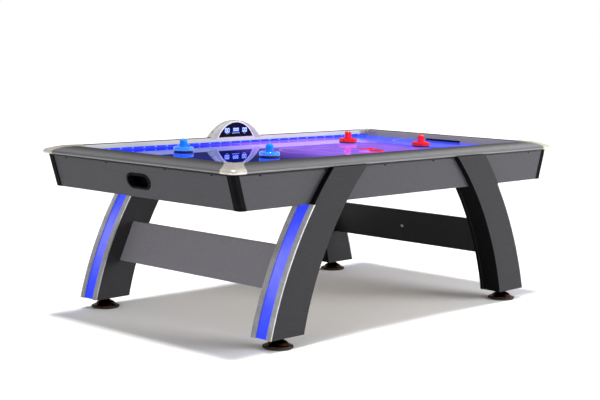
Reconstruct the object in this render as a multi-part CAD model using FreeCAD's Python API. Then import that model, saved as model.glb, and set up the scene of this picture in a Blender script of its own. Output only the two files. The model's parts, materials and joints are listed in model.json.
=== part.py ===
import FreeCAD, Part
import math
import os
from FreeCAD import Vector

# Air hockey table, millimetres.
# Origin on the floor under the middle of the table. +X runs along the length, +Y towards the
# side that carries the scorer, +Z up. Left is -X, right is +X, front is -Y, rear is +Y.

# ---- driving dimensions -------------------------------------------------------------------
TABLE_LENGTH = 2286.0        # over the rails' outer edges
TABLE_WIDTH = 1257.0
FIELD_TOP = 753.5            # playing surface, which is also the underside of the rails
CABINET_BOTTOM = 601.0

RAIL_WIDTH = 93.0
RAIL_LIP = 17.0              # height of the rail's outer edge
RIDGE_RISE = 37.5            # from the field to the rail's inner ridge
CREST_RISE = 32.0            # from the field to the middle of the rail's rounded top
LEDGE_RISE = 13.0            # from the field to the underside of a side rail's inner edge
LIGHT_WALL = 85.0            # the recessed wall below that edge, measured from the outer edge

CAP_PROUD = 6.0              # corner castings stand out from the rails
CAP_TOP = ((20.0, 27.2), (45.0, 34.2), (70.0, 38.2), (93.0, 39.5))   # in from the edge, rise
CAP_RADIUS = 28.0
RAIL_START = 60.0            # from the corner, where a rail's blank begins inside its casting
CAP_EDGE = ((72.0, 0.0), (106.0, 50.0), (162.0, 93.0))   # along the rail, in from its outer edge

BOARD = 18.0                 # panel thickness
END_FACE_TOP = 1123.0        # outer face of an end apron at the field, and at the bottom
END_FACE_BOTTOM = 1075.0
SIDE_FACE = 606.0            # outer face of a side apron
POST_SIZE = 36.0
POST_PROUD = 6.0
POST_SIDE = SIDE_FACE + 3.0
POST_RADIUS = 14.0

FIELD_THICKNESS = 12.0
FIELD_HALF_LENGTH = 1099.0
FIELD_HALF_WIDTH = 571.0
PLENUM_HALF_LENGTH = 1030.0
PLENUM_FLOOR = 9.0
PLENUM_DEPTH = 39.0
RIB_X = (-690.0, -350.0, 350.0, 690.0)        # outer faces of the cross ribs
MOUNT_BOARD = (440.0, 720.0)

GOAL_HALF_WIDTH = 115.0
GOAL_HEIGHT = 11.0
GOAL_REACH = 1112.0          # how far the slot runs into the end rail
GOAL_DROP_HALF_WIDTH = 120.0
GOAL_WALL = 4.0
GOAL_FLOOR = 642.0
GOAL_BACK = 981.0

RETURN_HEIGHT = 674.0        # middle of the puck return on the end apron's face
RETURN_OUTER = (154.0, 73.0)
RETURN_COLLAR = (141.8, 57.8)
RETURN_INNER = (132.0, 52.0)
RETURN_HOLE = (142.0, 58.0)

LEG_OUTER = 635.0            # outer and inner faces of a leg, across the table
LEG_INNER = 517.0
LEG_BOTTOM = 52.0
LEG_FRONT = ((551.0, 754.0), (782.5, 420.0), (923.5, 50.0))   # x, z along the leg's edges
LEG_BACK = ((329.0, 754.0), (582.5, 420.0), (720.0, 50.0))
TRIM_WIDTH = 27.5
TRIM_THICKNESS = 6.0
LIGHT_DEPTH = 8.0            # the light panel's face behind the trims' faces
LIGHT_THICKNESS = 4.0
CHANNEL_DEPTH = 50.0
CHANNEL_FOOT = 45.0          # solid wood left below and above the hollow behind the light
CHANNEL_HEAD = 20.0
GLUE_LINE = 0.3

STRETCHER_TOP = (697.0, 410.0)       # x, z of the outer face's edges
STRETCHER_BOTTOM = (778.0, 230.5)
STRETCHER_THICKNESS = 20.0   # measured level

FOOT_X = 817.0
FOOT_Y = 576.0
FOOT_RADIUS = 66.0
STEM_RADIUS = 8.0
RUNNING_CLEARANCE = 0.05

SCORER_FRONT = 534.5
SCORER_BACK = 574.0
SCORER_RADIUS = 225.0
SCORER_CENTRE = 648.0        # height of the arch's centre
SCORER_FOOT = 770.0          # lower than the rail's top anywhere under the scorer
SCORER_WALL = 4.0
SCORER_FLOOR = 2.0
DISPLAY_RADIUS = 136.0
DISPLAY_CENTRE = 725.5

BLOWER_RADIUS = 100.0
BLOWER_OUTLET = 90.0

MALLET_RADIUS = 48.0
FELT_THICKNESS = 4.0
MALLET_RIM = 15.0            # height of the raised ring's side, and of its crown
MALLET_CROWN = 20.5
RIM_WIDTH = 10.0
TROUGH_FLOOR = 8.0
KNOB_RADIUS = 18.5
KNOB_SHOULDER = 40.0         # above the mallet's base, where the dome begins
MALLETS = {
    "blue_1": (-564.0, 310.0),
    "blue_2": (-416.0, -115.0),
    "red_1": (530.0, 233.0),
    "red_2": (669.0, -146.0),
}
PUCK_RADIUS = 38.0
PUCK_THICKNESS = 6.5
PUCK_FLAT = (253.0, -196.0)
PUCK_LEANING = (257.0, -128.0)

# ---- worked out ---------------------------------------------------------------------------
HALF_X = TABLE_LENGTH / 2
HALF_Y = TABLE_WIDTH / 2
FIELD_UNDER = FIELD_TOP - FIELD_THICKNESS
PLENUM_TOP = FIELD_UNDER - PLENUM_DEPTH
PLENUM_UNDER = PLENUM_TOP - PLENUM_FLOOR
CABINET_HEIGHT = FIELD_TOP - CABINET_BOTTOM
SLANT = (END_FACE_TOP - END_FACE_BOTTOM) / CABINET_HEIGHT
SLANT_ANGLE = math.degrees(math.atan(SLANT))
DISPLAY_FOOT = FIELD_TOP + RIDGE_RISE + GLUE_LINE + SCORER_FLOOR + 0.2
CHANNEL = (LEG_INNER + TRIM_WIDTH, LEG_OUTER - TRIM_WIDTH)
LEFT_RIGHT = {"left": -1, "right": 1}
FRONT_REAR = {"front": -1, "rear": 1}


# ---- helpers ------------------------------------------------------------------------------
def box(x0, x1, y0, y1, z0, z1):
    return Part.makeBox(x1 - x0, y1 - y0, z1 - z0, Vector(x0, y0, z0))


def disc(radius, z0, z1, x=0.0, y=0.0):
    return Part.makeCylinder(radius, z1 - z0, Vector(x, y, z0))


def cylinder_y(radius, y0, y1, x, z):
    return Part.makeCylinder(radius, y1 - y0, Vector(x, y0, z), Vector(0, 1, 0))


def line(a, b):
    return Part.LineSegment(a, b).toShape()


def arc(a, b, c):
    return Part.Arc(a, b, c).toShape()


def prism_xz(points, y0, y1):
    """A polygon of x, z points extruded from y0 to y1."""
    corners = [Vector(x, y0, z) for x, z in points]
    face = Part.Face(Part.makePolygon(corners + corners[:1]))
    return face.extrude(Vector(0, y1 - y0, 0))


def on_side(shape, end, side):
    """The right rear shape copied to the end (-1 left, 1 right) and side (-1 front, 1 rear)."""
    if end < 0:
        shape = shape.mirror(Vector(0, 0, 0), Vector(1, 0, 0))
    if side < 0:
        shape = shape.mirror(Vector(0, 0, 0), Vector(0, 1, 0))
    return shape


def all_corners(shape):
    return [on_side(shape, end, side) for end in (-1, 1) for side in (-1, 1)]


def end_face(z, inwards=0.0):
    """x of the right end apron's outer face at height z, or of a line that far inside it."""
    return END_FACE_TOP - (FIELD_TOP - z) * SLANT - inwards * math.hypot(1, SLANT)


def on_end_face(shape, y, z):
    """Turn a shape built along +X at the origin to stand square on the right end apron."""
    shape = shape.copy()
    shape.rotate(Vector(0, 0, 0), Vector(0, 1, 0), SLANT_ANGLE)
    shape.translate(Vector(end_face(z), y, z))
    return shape


def stadium(size, x0, x1):
    """A flat-sided oval, size (width along Y, height along Z), extruded from x0 to x1."""
    width, height = size
    r = height / 2
    half = width / 2 - r
    edges = [
        line(Vector(x0, -half, r), Vector(x0, half, r)),
        arc(Vector(x0, half, r), Vector(x0, half + r, 0), Vector(x0, half, -r)),
        line(Vector(x0, half, -r), Vector(x0, -half, -r)),
        arc(Vector(x0, -half, -r), Vector(x0, -half - r, 0), Vector(x0, -half, r)),
    ]
    return Part.Face(Part.Wire(edges)).extrude(Vector(x1 - x0, 0, 0))


def circle_through(points):
    """Centre x, centre z and radius of the circle through three x, z points."""
    a, b, c = [Vector(x, 0, z) for x, z in points]
    circle = arc(a, b, c).Curve
    return circle.Center.x, circle.Center.z, circle.Radius


# ---- rails and corner castings ------------------------------------------------------------
# A rail's inner face, as in from the outer edge and rise above the field: the side rails
# overhang a recessed wall with a light strip on it, and the end rails stand on the field.
LIT_FACE = ((RAIL_WIDTH, LEDGE_RISE), (LIGHT_WALL, LEDGE_RISE), (LIGHT_WALL, 0.0))
PLAIN_FACE = ((RAIL_WIDTH, 0.0),)


def rail_section(place, face, up=0.0):
    """The rail's closed section; place(d, rise) is d in from the outer edge, rise above the field."""
    p = [
        place(0, 0),
        place(0, RAIL_LIP + up),
        place(RAIL_WIDTH / 2, CREST_RISE + up),
        place(RAIL_WIDTH, RIDGE_RISE + up),
    ]
    p += [place(d, rise) for d, rise in face]
    edges = [line(p[0], p[1]), arc(p[1], p[2], p[3])]
    edges += [line(a, b) for a, b in zip(p[3:], p[4:] + p[:1])]
    return Part.Face(Part.Wire(edges))


def cap_section(place, face):
    """The corner casting's section: the rail's, a little proud, with its top in facets."""
    p = [place(-CAP_PROUD, 0), place(-CAP_PROUD, RAIL_LIP + 2)]
    p += [place(d, rise) for d, rise in CAP_TOP + face]
    return Part.Face(Part.makePolygon(p + p[:1]))


def side_place(x):
    return lambda d, rise: Vector(x, HALF_Y - d, FIELD_TOP + rise)


def end_place(y):
    return lambda d, rise: Vector(HALF_X - d, y, FIELD_TOP + rise)


def side_bar(half_length, up=0.0):
    section = rail_section(side_place(-half_length), LIT_FACE, up)
    return section.extrude(Vector(2 * half_length, 0, 0))


def end_bar(half_length):
    return rail_section(end_place(-half_length), PLAIN_FACE).extrude(Vector(0, 2 * half_length, 0))


def cap_plan(out, radius, gap):
    """Prism over the right rear corner, waisted along both rails; gap widens it along them."""
    z = FIELD_TOP - 20

    def at(p, q):
        return Vector(HALF_X - p, HALF_Y - q, z)

    (a0, d0), (a1, d1), (a2, d2) = [(a + gap, d) for a, d in CAP_EDGE]
    near = radius * (1 - math.sqrt(0.5)) - out
    edges = [
        arc(at(-out, radius - out), at(near, near), at(radius - out, -out)),
        line(at(radius - out, -out), at(a0, -out)),
        line(at(a0, -out), at(a0, d0)),
        arc(at(a0, d0), at(a1, d1), at(a2, d2)),
        line(at(a2, d2), at(d2, a2)),
        arc(at(d2, a2), at(d1, a1), at(d0, a0)),
        line(at(d0, a0), at(-out, a0)),
        line(at(-out, a0), at(-out, radius - out)),
    ]
    return Part.Face(Part.Wire(edges)).extrude(Vector(0, 0, 100))


def corner_cap():
    """The right rear corner casting: two lengths of rail section, mitred and trimmed in plan."""
    reach = 260.0
    far = 40.0
    base = FIELD_TOP - 20
    corner = Vector(HALF_X + far, HALF_Y + far, base)
    inner = Vector(HALF_X - reach, HALF_Y - reach, base)
    triangles = []
    for third in (Vector(corner.x, inner.y, base), Vector(inner.x, corner.y, base)):
        face = Part.Face(Part.makePolygon([corner, inner, third, corner]))
        triangles.append(face.extrude(Vector(0, 0, 100)))
    end_half, side_half = triangles
    length = reach + far
    along_x = cap_section(side_place(inner.x), LIT_FACE).extrude(Vector(length, 0, 0))
    along_y = cap_section(end_place(inner.y), PLAIN_FACE).extrude(Vector(0, length, 0))
    casting = along_x.common(side_half).fuse(along_y.common(end_half)).removeSplitter()
    return casting.common(cap_plan(CAP_PROUD, CAP_RADIUS, 0.0))


def cap_sockets():
    return all_corners(cap_plan(CAP_PROUD, 2.0, GLUE_LINE))


def side_rail():
    rail = side_bar(HALF_X - RAIL_START)
    for socket in cap_sockets():
        rail = rail.cut(socket)
    return rail


def end_rail():
    rail = end_bar(HALF_Y - RAIL_START)
    for socket in cap_sockets():
        rail = rail.cut(socket)
    slot = box(HALF_X - RAIL_WIDTH - 10, GOAL_REACH, -GOAL_HALF_WIDTH, GOAL_HALF_WIDTH,
               FIELD_TOP - 5, FIELD_TOP + GOAL_HEIGHT)
    return rail.cut(slot)


def rail_light_strips():
    """Light strips on the side rails' recessed walls."""
    thickness = 2.5
    half = HALF_X - RAIL_WIDTH - 12
    wall = HALF_Y - LIGHT_WALL
    strip = box(-half, half, wall - thickness, wall, FIELD_TOP + 2, FIELD_TOP + LEDGE_RISE - 2)
    return [strip, on_side(strip, 1, -1)]


# ---- cabinet ------------------------------------------------------------------------------
SCREW_HEAD = 4.5
SCREW_SHANK = 2.0
SCREW_DROP = 11.0            # below the rails
END_SCREWS = (-480.0, -195.0, 195.0, 480.0)
SIDE_SCREWS = (-970.0, -575.0, -177.0, 177.0, 575.0, 970.0)


def screw(shank):
    """A pan-head screw along X, its head outside x = 0."""
    head = Part.makeCylinder(SCREW_HEAD, 2.4, Vector(0, 0, 0), Vector(1, 0, 0))
    pin = Part.makeCylinder(shank, 14.5, Vector(-14, 0, 0), Vector(1, 0, 0))
    return head.fuse(pin)


def end_screws(shank):
    z = FIELD_TOP - SCREW_DROP
    return [on_end_face(screw(shank), y, z) for y in END_SCREWS]


def side_screws(shank):
    placed = []
    for x in SIDE_SCREWS:
        one = screw(shank)
        one.rotate(Vector(0, 0, 0), Vector(0, 0, 1), 90)
        one.translate(Vector(x, SIDE_FACE, FIELD_TOP - SCREW_DROP))
        placed.append(one)
    return placed


def side_apron():
    top = END_FACE_TOP + POST_PROUD - POST_SIZE
    bottom = END_FACE_BOTTOM + POST_PROUD - POST_SIZE
    outline = [(-bottom, CABINET_BOTTOM), (bottom, CABINET_BOTTOM), (top, FIELD_TOP), (-top, FIELD_TOP)]
    panel = prism_xz(outline, SIDE_FACE - BOARD, SIDE_FACE)
    for hole in side_screws(SCREW_SHANK + RUNNING_CLEARANCE):
        panel = panel.cut(hole)
    return panel


def end_apron():
    outline = [
        (end_face(CABINET_BOTTOM), CABINET_BOTTOM),
        (end_face(FIELD_TOP), FIELD_TOP),
        (end_face(FIELD_TOP, BOARD), FIELD_TOP),
        (end_face(CABINET_BOTTOM, BOARD), CABINET_BOTTOM),
    ]
    half = POST_SIDE - POST_SIZE
    panel = prism_xz(outline, -half, half)
    panel = panel.cut(on_end_face(stadium(RETURN_HOLE, -40, 40), 0, RETURN_HEIGHT))
    for hole in end_screws(SCREW_SHANK + RUNNING_CLEARANCE):
        panel = panel.cut(hole)
    return panel


def corner_post():
    """Rounded corner strip that leans with the end apron."""
    x1 = END_FACE_BOTTOM + POST_PROUD
    x0 = x1 - POST_SIZE
    y1 = POST_SIDE
    y0 = y1 - POST_SIZE
    r = POST_RADIUS
    near = r * (1 - math.sqrt(0.5))
    z = CABINET_BOTTOM
    edges = [
        line(Vector(x0, y0, z), Vector(x1, y0, z)),
        line(Vector(x1, y0, z), Vector(x1, y1 - r, z)),
        arc(Vector(x1, y1 - r, z), Vector(x1 - near, y1 - near, z), Vector(x1 - r, y1, z)),
        line(Vector(x1 - r, y1, z), Vector(x0, y1, z)),
        line(Vector(x0, y1, z), Vector(x0, y0, z)),
    ]
    lean = Vector(END_FACE_TOP - END_FACE_BOTTOM, 0, CABINET_HEIGHT)
    return Part.Face(Part.Wire(edges)).extrude(lean)


def playfield():
    board = box(-FIELD_HALF_LENGTH, FIELD_HALF_LENGTH, -FIELD_HALF_WIDTH, FIELD_HALF_WIDTH,
                FIELD_UNDER, FIELD_TOP)
    drop = box(HALF_X - RAIL_WIDTH, HALF_X, -GOAL_DROP_HALF_WIDTH, GOAL_DROP_HALF_WIDTH,
               FIELD_UNDER - 5, FIELD_TOP + 5)
    return board.cut(drop).cut(on_side(drop, -1, 1))


def plenum_floor():
    reach = SIDE_FACE - BOARD
    board = box(-PLENUM_HALF_LENGTH, PLENUM_HALF_LENGTH, -reach, reach, PLENUM_UNDER, PLENUM_TOP)
    return board.cut(disc(BLOWER_OUTLET, PLENUM_UNDER - 5, PLENUM_TOP + 5))


def plenum_ribs():
    """Edge strips and cross ribs that carry the playing surface on the plenum floor."""
    outer = FIELD_HALF_WIDTH
    inner = outer - BOARD
    long_strip = box(-PLENUM_HALF_LENGTH, PLENUM_HALF_LENGTH, inner, outer, PLENUM_TOP, FIELD_UNDER)
    ribs = [long_strip, on_side(long_strip, 1, -1)]
    end_x = PLENUM_HALF_LENGTH - BOARD
    for x in (-end_x, *RIB_X, end_x):
        start = x if x > 0 else x - BOARD
        ribs.append(box(start, start + BOARD, -inner, inner, PLENUM_TOP, FIELD_UNDER))
    return ribs


def goal_box():
    """Moulded tray behind the right goal, open at the top under the rail and towards the apron."""
    half = GOAL_DROP_HALF_WIDTH
    throat = PLENUM_HALF_LENGTH + 4
    roof = PLENUM_UNDER - 1
    top = FIELD_UNDER - 2
    outer = [
        (GOAL_BACK, GOAL_FLOOR),
        (end_face(GOAL_FLOOR, BOARD), GOAL_FLOOR),
        (end_face(top, BOARD), top),
        (throat, top),
        (throat, roof),
        (GOAL_BACK, roof),
    ]
    w = GOAL_WALL
    inner = [
        (GOAL_BACK + w, GOAL_FLOOR + w),
        (end_face(GOAL_FLOOR + w) + 5, GOAL_FLOOR + w),
        (end_face(top) + 5, top + 5),
        (throat + w, top + 5),
        (throat + w, roof - w),
        (GOAL_BACK + w, roof - w),
    ]
    return prism_xz(outer, -half - w, half + w).cut(prism_xz(inner, -half, half))


def puck_return():
    """Oval surround on the right end apron, with a collar through the board."""
    flange = stadium(RETURN_OUTER, 0, 4)
    rounded = flange.makeFillet(1.8, [e for e in flange.Edges if e.BoundBox.XMin > 3.9])
    collar = stadium(RETURN_COLLAR, -22, 1)
    surround = rounded.fuse(collar).cut(stadium(RETURN_INNER, -30, 10))
    return on_end_face(surround, 0, RETURN_HEIGHT)


def leg_mount_board():
    """Board across the cabinet's floor that the right pair of legs is bolted up to."""
    reach = SIDE_FACE - BOARD
    return box(*MOUNT_BOARD, -reach, reach, CABINET_BOTTOM, CABINET_BOTTOM + BOARD)


# ---- legs, stretchers and feet ------------------------------------------------------------
def leg_band(depth0, depth1, y0, y1, z0, z1):
    """The curved layer of a leg between two depths behind its front edge."""
    cx, cz, radius = circle_through(LEG_FRONT)
    layer = cylinder_y(radius - depth0, y0, y1, cx, cz)
    if depth1 is not None:
        layer = layer.cut(cylinder_y(radius - depth1, y0 - 1, y1 + 1, cx, cz))
    return layer.common(box(300, 1200, y0, y1, z0, z1))


def leg_blank(depth, y0, y1, z0, z1):
    """The leg's side shape behind a depth from its front edge."""
    cx, cz, radius = circle_through(LEG_BACK)
    return leg_band(depth, None, y0, y1, z0, z1).cut(cylinder_y(radius, y0 - 1, y1 + 1, cx, cz))


def leg():
    """Right rear leg: hollow front channel, full width below the cabinet, one cheek beside it."""
    front = TRIM_THICKNESS + GLUE_LINE
    lower = leg_blank(front, LEG_INNER, LEG_OUTER, LEG_BOTTOM, CABINET_BOTTOM)
    cheek = leg_blank(0, SIDE_FACE, LEG_OUTER, CABINET_BOTTOM, FIELD_TOP)
    y0, y1 = CHANNEL
    seat_depth = LIGHT_DEPTH + LIGHT_THICKNESS + GLUE_LINE
    seat = leg_band(0, seat_depth, y0, y1, LEG_BOTTOM - 1, CABINET_BOTTOM)
    hollow = leg_band(0, CHANNEL_DEPTH, y0, y1, LEG_BOTTOM + CHANNEL_FOOT, CABINET_BOTTOM - CHANNEL_HEAD)
    cx, cz, radius = circle_through(LEG_BACK)
    relief = cylinder_y(radius + 4, LEG_INNER + BOARD, LEG_OUTER - BOARD, cx, cz)
    relief = relief.common(box(300, 1200, LEG_INNER, LEG_OUTER, 0, CABINET_BOTTOM - 10))
    bore = disc(STEM_RADIUS + RUNNING_CLEARANCE, LEG_BOTTOM - 5, LEG_BOTTOM + 60, FOOT_X, FOOT_Y)
    return lower.fuse(cheek).removeSplitter().cut(seat).cut(hollow).cut(relief).cut(bore)


def leg_light_panel():
    y0, y1 = CHANNEL
    back = LIGHT_DEPTH + LIGHT_THICKNESS
    return leg_band(LIGHT_DEPTH, back, y0, y1, LEG_BOTTOM, CABINET_BOTTOM)


def leg_trims():
    y0, y1 = CHANNEL
    inner = leg_band(0, TRIM_THICKNESS, LEG_INNER, y0, LEG_BOTTOM, CABINET_BOTTOM)
    outer = leg_band(0, TRIM_THICKNESS, y1, LEG_OUTER, LEG_BOTTOM, CABINET_BOTTOM)
    return [inner, outer]


def end_stretcher():
    """Slanted board between the right legs, its long edges cut level."""
    (x0, z0), (x1, z1) = STRETCHER_TOP, STRETCHER_BOTTOM
    t = STRETCHER_THICKNESS
    outline = [(x0, z0), (x1, z1), (x1 - t, z1), (x0 - t, z0)]
    return prism_xz(outline, -LEG_INNER, LEG_INNER)


def stretcher_cap():
    """Small cover over the bolt in the middle of the right stretcher's inner face."""
    (x0, z0), (x1, z1) = STRETCHER_TOP, STRETCHER_BOTTOM
    middle = Vector((x0 + x1) / 2 - STRETCHER_THICKNESS, 0, (z0 + z1) / 2)
    return Part.makeCylinder(8, 2.5, middle, Vector(z1 - z0, 0, x0 - x1))


def foot_pad():
    """Rubber sole of the right rear foot."""
    pad = disc(FOOT_RADIUS, 0, 12, FOOT_X, FOOT_Y)
    return pad.makeFillet(2.5, pad.Edges[:1])


def foot_leveller():
    """Hollow domed base and threaded stem of the right rear foot."""
    profile = [(0, 34), (12, 34), (54, 12), (60, 12), (60, 15), (42, 27), (22, 38), (18, 41)]
    profile += [(STEM_RADIUS, 41), (STEM_RADIUS, LEG_BOTTOM + 45), (0, LEG_BOTTOM + 45)]
    corners = [Vector(FOOT_X + r, FOOT_Y, z) for r, z in profile]
    face = Part.Face(Part.makePolygon(corners + corners[:1]))
    return face.revolve(Vector(FOOT_X, FOOT_Y, 0), Vector(0, 0, 1), 360)


# ---- scorer -------------------------------------------------------------------------------
BUTTON_RADIUS = 6.0
BUTTON_Z = 824.0
BUTTONS = {"mode": -35.0, "reset": 35.0}
ARCH_REACH = 300.0           # blanks reach past the arch on both sides
ARCH_TOP = 900.0
BUTTON_TRAVEL = 3.0          # how far a button stands out of the housing's back
BOARD_HALF = 95.0            # the circuit board's half width, and the heights of its edges
BOARD_LOW = 804.0
BOARD_HIGH = 846.0
DIGIT_BLOCKS = ((-65.0, 22.0), (0.0, 24.0), (65.0, 22.0))    # middle and half width
DIGIT_MARGIN = 4.0           # board left below and above the digit blocks


def arch_above(radius, centre, foot, y0, y1):
    """A disc standing across the table, kept above a height."""
    blank = cylinder_y(radius, y0, y1, 0, centre)
    return blank.common(box(-ARCH_REACH, ARCH_REACH, y0, y1, foot, ARCH_TOP))


def scorer_housing():
    """Arched shell on the rear rail, open at the front, with button holes in its back wall."""
    inside = SCORER_RADIUS - SCORER_WALL
    outer = arch_above(SCORER_RADIUS, SCORER_CENTRE, SCORER_FOOT, SCORER_FRONT, SCORER_BACK)
    outer = outer.cut(side_bar(ARCH_REACH, GLUE_LINE))
    back = SCORER_BACK - SCORER_WALL
    hollow = arch_above(inside, SCORER_CENTRE, FIELD_TOP, SCORER_FRONT - 1, back)
    shell = outer.cut(hollow.cut(side_bar(ARCH_REACH, GLUE_LINE + SCORER_FLOOR)))
    bore = BUTTON_RADIUS + RUNNING_CLEARANCE
    for x in BUTTONS.values():
        shell = shell.cut(cylinder_y(bore, SCORER_BACK - 10, SCORER_BACK + 5, x, BUTTON_Z))
    return shell


def scorer_bezel():
    """Front plate inside the shell's mouth, with the display's arched window."""
    y0 = SCORER_FRONT
    y1 = y0 + 5
    plate = arch_above(SCORER_RADIUS - SCORER_WALL - 0.1, SCORER_CENTRE, DISPLAY_FOOT, y0, y1)
    return plate.cut(arch_above(DISPLAY_RADIUS, DISPLAY_CENTRE, DISPLAY_FOOT + 2, y0 - 1, y1 + 1))


def scorer_lens():
    y0 = SCORER_FRONT + 1
    return arch_above(DISPLAY_RADIUS - 0.2, DISPLAY_CENTRE, DISPLAY_FOOT + 2.2, y0, y0 + 3)


def scorer_board():
    """Circuit board behind the lens, with its three digit blocks."""
    y0 = SCORER_FRONT + 12
    board = box(-BOARD_HALF, BOARD_HALF, y0, y0 + 1.6, BOARD_LOW, BOARD_HIGH)
    low = BOARD_LOW + DIGIT_MARGIN
    high = BOARD_HIGH - DIGIT_MARGIN
    for x, half in DIGIT_BLOCKS:
        board = board.fuse(box(x - half, x + half, y0 - 5, y0, low, high))
    return board


def scorer_button(x):
    y0 = SCORER_BACK - 9
    stem = cylinder_y(BUTTON_RADIUS, y0, SCORER_BACK + BUTTON_TRAVEL, x, BUTTON_Z)
    collar = cylinder_y(BUTTON_RADIUS + 2, y0, y0 + 4.9, x, BUTTON_Z)
    return stem.fuse(collar)


# ---- blower and power ---------------------------------------------------------------------
BLOWER_BOTTOM = 604.0
BLOWER_WALL = 4.0            # the duct's wall, its flange and the grille
FLANGE_REACH = 16.0
GRILLE_RINGS = (52.0, 68.0, 84.0)    # middle radius of each ring of slots
SLOT_HALF_WIDTH = 5.0
SPOKE_HALF_WIDTH = 6.0
MOTOR_RADIUS = 32.0
MOTOR_HEIGHT = 30.0
SHAFT_RADIUS = 4.0
SHAFT_LENGTH = 32.0
HUB_RADIUS = 22.0
HUB_HEIGHT = 24.0
HUB_GAP = 8.0                # from the motor's top to the hub
BLADES = 7
BLADE_REACH = 86.0
BLADE_WIDTH = 30.0
BLADE_PITCH = 50.0


def blower_housing():
    """Round duct with a flange against the plenum floor."""
    duct = disc(BLOWER_RADIUS, BLOWER_BOTTOM + BLOWER_WALL, PLENUM_UNDER)
    flange = disc(BLOWER_RADIUS + FLANGE_REACH, PLENUM_UNDER - BLOWER_WALL, PLENUM_UNDER)
    return duct.fuse(flange).cut(disc(BLOWER_RADIUS - BLOWER_WALL, BLOWER_BOTTOM, PLENUM_UNDER + 5))


def blower_grille():
    """Disc with rings of curved slots, split by four spokes."""
    plate = disc(BLOWER_RADIUS, BLOWER_BOTTOM, BLOWER_BOTTOM + BLOWER_WALL)
    low = BLOWER_BOTTOM - 1
    high = BLOWER_BOTTOM + BLOWER_WALL + 1
    reach = BLOWER_RADIUS + 20
    half = SPOKE_HALF_WIDTH
    spokes = box(-reach, reach, -half, half, low - 2, high + 2)
    spokes = spokes.fuse(box(-half, half, -reach, reach, low - 2, high + 2))
    for r in GRILLE_RINGS:
        ring = disc(r + SLOT_HALF_WIDTH, low, high).cut(disc(r - SLOT_HALF_WIDTH, low - 1, high + 1))
        plate = plate.cut(ring.cut(spokes))
    return plate


def blower_motor():
    """Motor can on the grille's hub with its shaft up."""
    base = BLOWER_BOTTOM + BLOWER_WALL
    top = base + MOTOR_HEIGHT
    return disc(MOTOR_RADIUS, base, top).fuse(disc(SHAFT_RADIUS, top, top + SHAFT_LENGTH))


def blower_impeller():
    """Hub with pitched blades, running on the motor's shaft."""
    z0 = BLOWER_BOTTOM + BLOWER_WALL + MOTOR_HEIGHT + HUB_GAP
    root = HUB_RADIUS - 4
    hub = disc(HUB_RADIUS, z0, z0 + HUB_HEIGHT)
    for k in range(BLADES):
        blade = Part.makeBox(BLADE_REACH - root, 3, BLADE_WIDTH, Vector(root, -1.5, -BLADE_WIDTH / 2))
        blade.rotate(Vector(0, 0, 0), Vector(1, 0, 0), BLADE_PITCH)
        blade.translate(Vector(0, 0, z0 + HUB_HEIGHT / 2))
        blade.rotate(Vector(0, 0, 0), Vector(0, 0, 1), k * 360.0 / BLADES)
        hub = hub.fuse(blade)
    return hub.removeSplitter().cut(disc(SHAFT_RADIUS + RUNNING_CLEARANCE, z0 - 20, z0 + HUB_HEIGHT + 36))


POWER_X = -250.0
POWER_Z = 650.0
POWER_DEPTH = 26.0
SWITCH_HALF = (11.0, 15.0)   # half width and half height of the switch's body
INLET_X = POWER_X + 49.0
INLET_HALF = (14.0, 12.0)
INLET_BLADES = ((-7.0, -2.0), (0.0, 3.0), (7.0, -2.0))
ROCKER_TILT = 10.0
ROCKER_INSET = 4.0           # its axis behind the apron's face
AXLE_RADIUS = 1.5
AXLE_REACH = 10.0


def rocker_axle(radius, half_length):
    """Round pin along the rocker's tilting axis."""
    start = Vector(POWER_X - half_length, SIDE_FACE - ROCKER_INSET, POWER_Z)
    return Part.makeCylinder(radius, 2 * half_length, start, Vector(1, 0, 0))


def power_box(x, half, grow, y0, y1):
    """Block on a switch or inlet's middle, larger than its body by grow on all four sides."""
    w = half[0] + grow
    h = half[1] + grow
    return box(x - w, x + w, SIDE_FACE + y0, SIDE_FACE + y1, POWER_Z - h, POWER_Z + h)


def power_switch_body():
    """Rocker switch frame through the rear apron, open to the outside."""
    body = power_box(POWER_X, SWITCH_HALF, 0, -POWER_DEPTH, 0)
    flange = power_box(POWER_X, SWITCH_HALF, 3, 0, 2)
    half_width, half_height = SWITCH_HALF
    well = power_box(POWER_X, (half_width - 2, half_height - 3), 0, -16, 5)
    sockets = rocker_axle(AXLE_RADIUS + RUNNING_CLEARANCE, AXLE_REACH + RUNNING_CLEARANCE)
    return body.fuse(flange).cut(well).cut(sockets)


def power_rocker():
    """Rocker on pins along X, its outer face a shallow V, its upper end pressed."""
    y = SIDE_FACE - ROCKER_INSET
    outline = [(10.0, 6.0), (0.0, 4.5), (-10.0, 6.0), (-9.0, -3.0), (0.0, -8.0), (9.0, -3.0)]
    half = SWITCH_HALF[0] - 2.1
    x0 = POWER_X - half
    corners = [Vector(x0, y + out, POWER_Z + up) for up, out in outline]
    face = Part.Face(Part.makePolygon(corners + corners[:1]))
    rocker = face.extrude(Vector(2 * half, 0, 0))
    rocker.rotate(Vector(x0, y, POWER_Z), Vector(1, 0, 0), ROCKER_TILT)
    return rocker.fuse(rocker_axle(AXLE_RADIUS, AXLE_REACH))


def power_inlet():
    """Recessed mains inlet with three blades, through the rear apron."""
    half_width, half_height = INLET_HALF
    body = power_box(INLET_X, INLET_HALF, 0, -POWER_DEPTH, 0)
    flange = power_box(INLET_X, (half_width + 10, half_height + 2), 0, 0, 2)
    well = power_box(INLET_X, (half_width - 3, half_height - 4), 0, -20, 5)
    inlet = body.fuse(flange).cut(well)
    for dx, dz in INLET_BLADES:
        x = INLET_X + dx
        z = POWER_Z + dz
        inlet = inlet.fuse(box(x - 1, x + 1, SIDE_FACE - 21, SIDE_FACE - 6, z - 2, z + 2))
    return inlet


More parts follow.
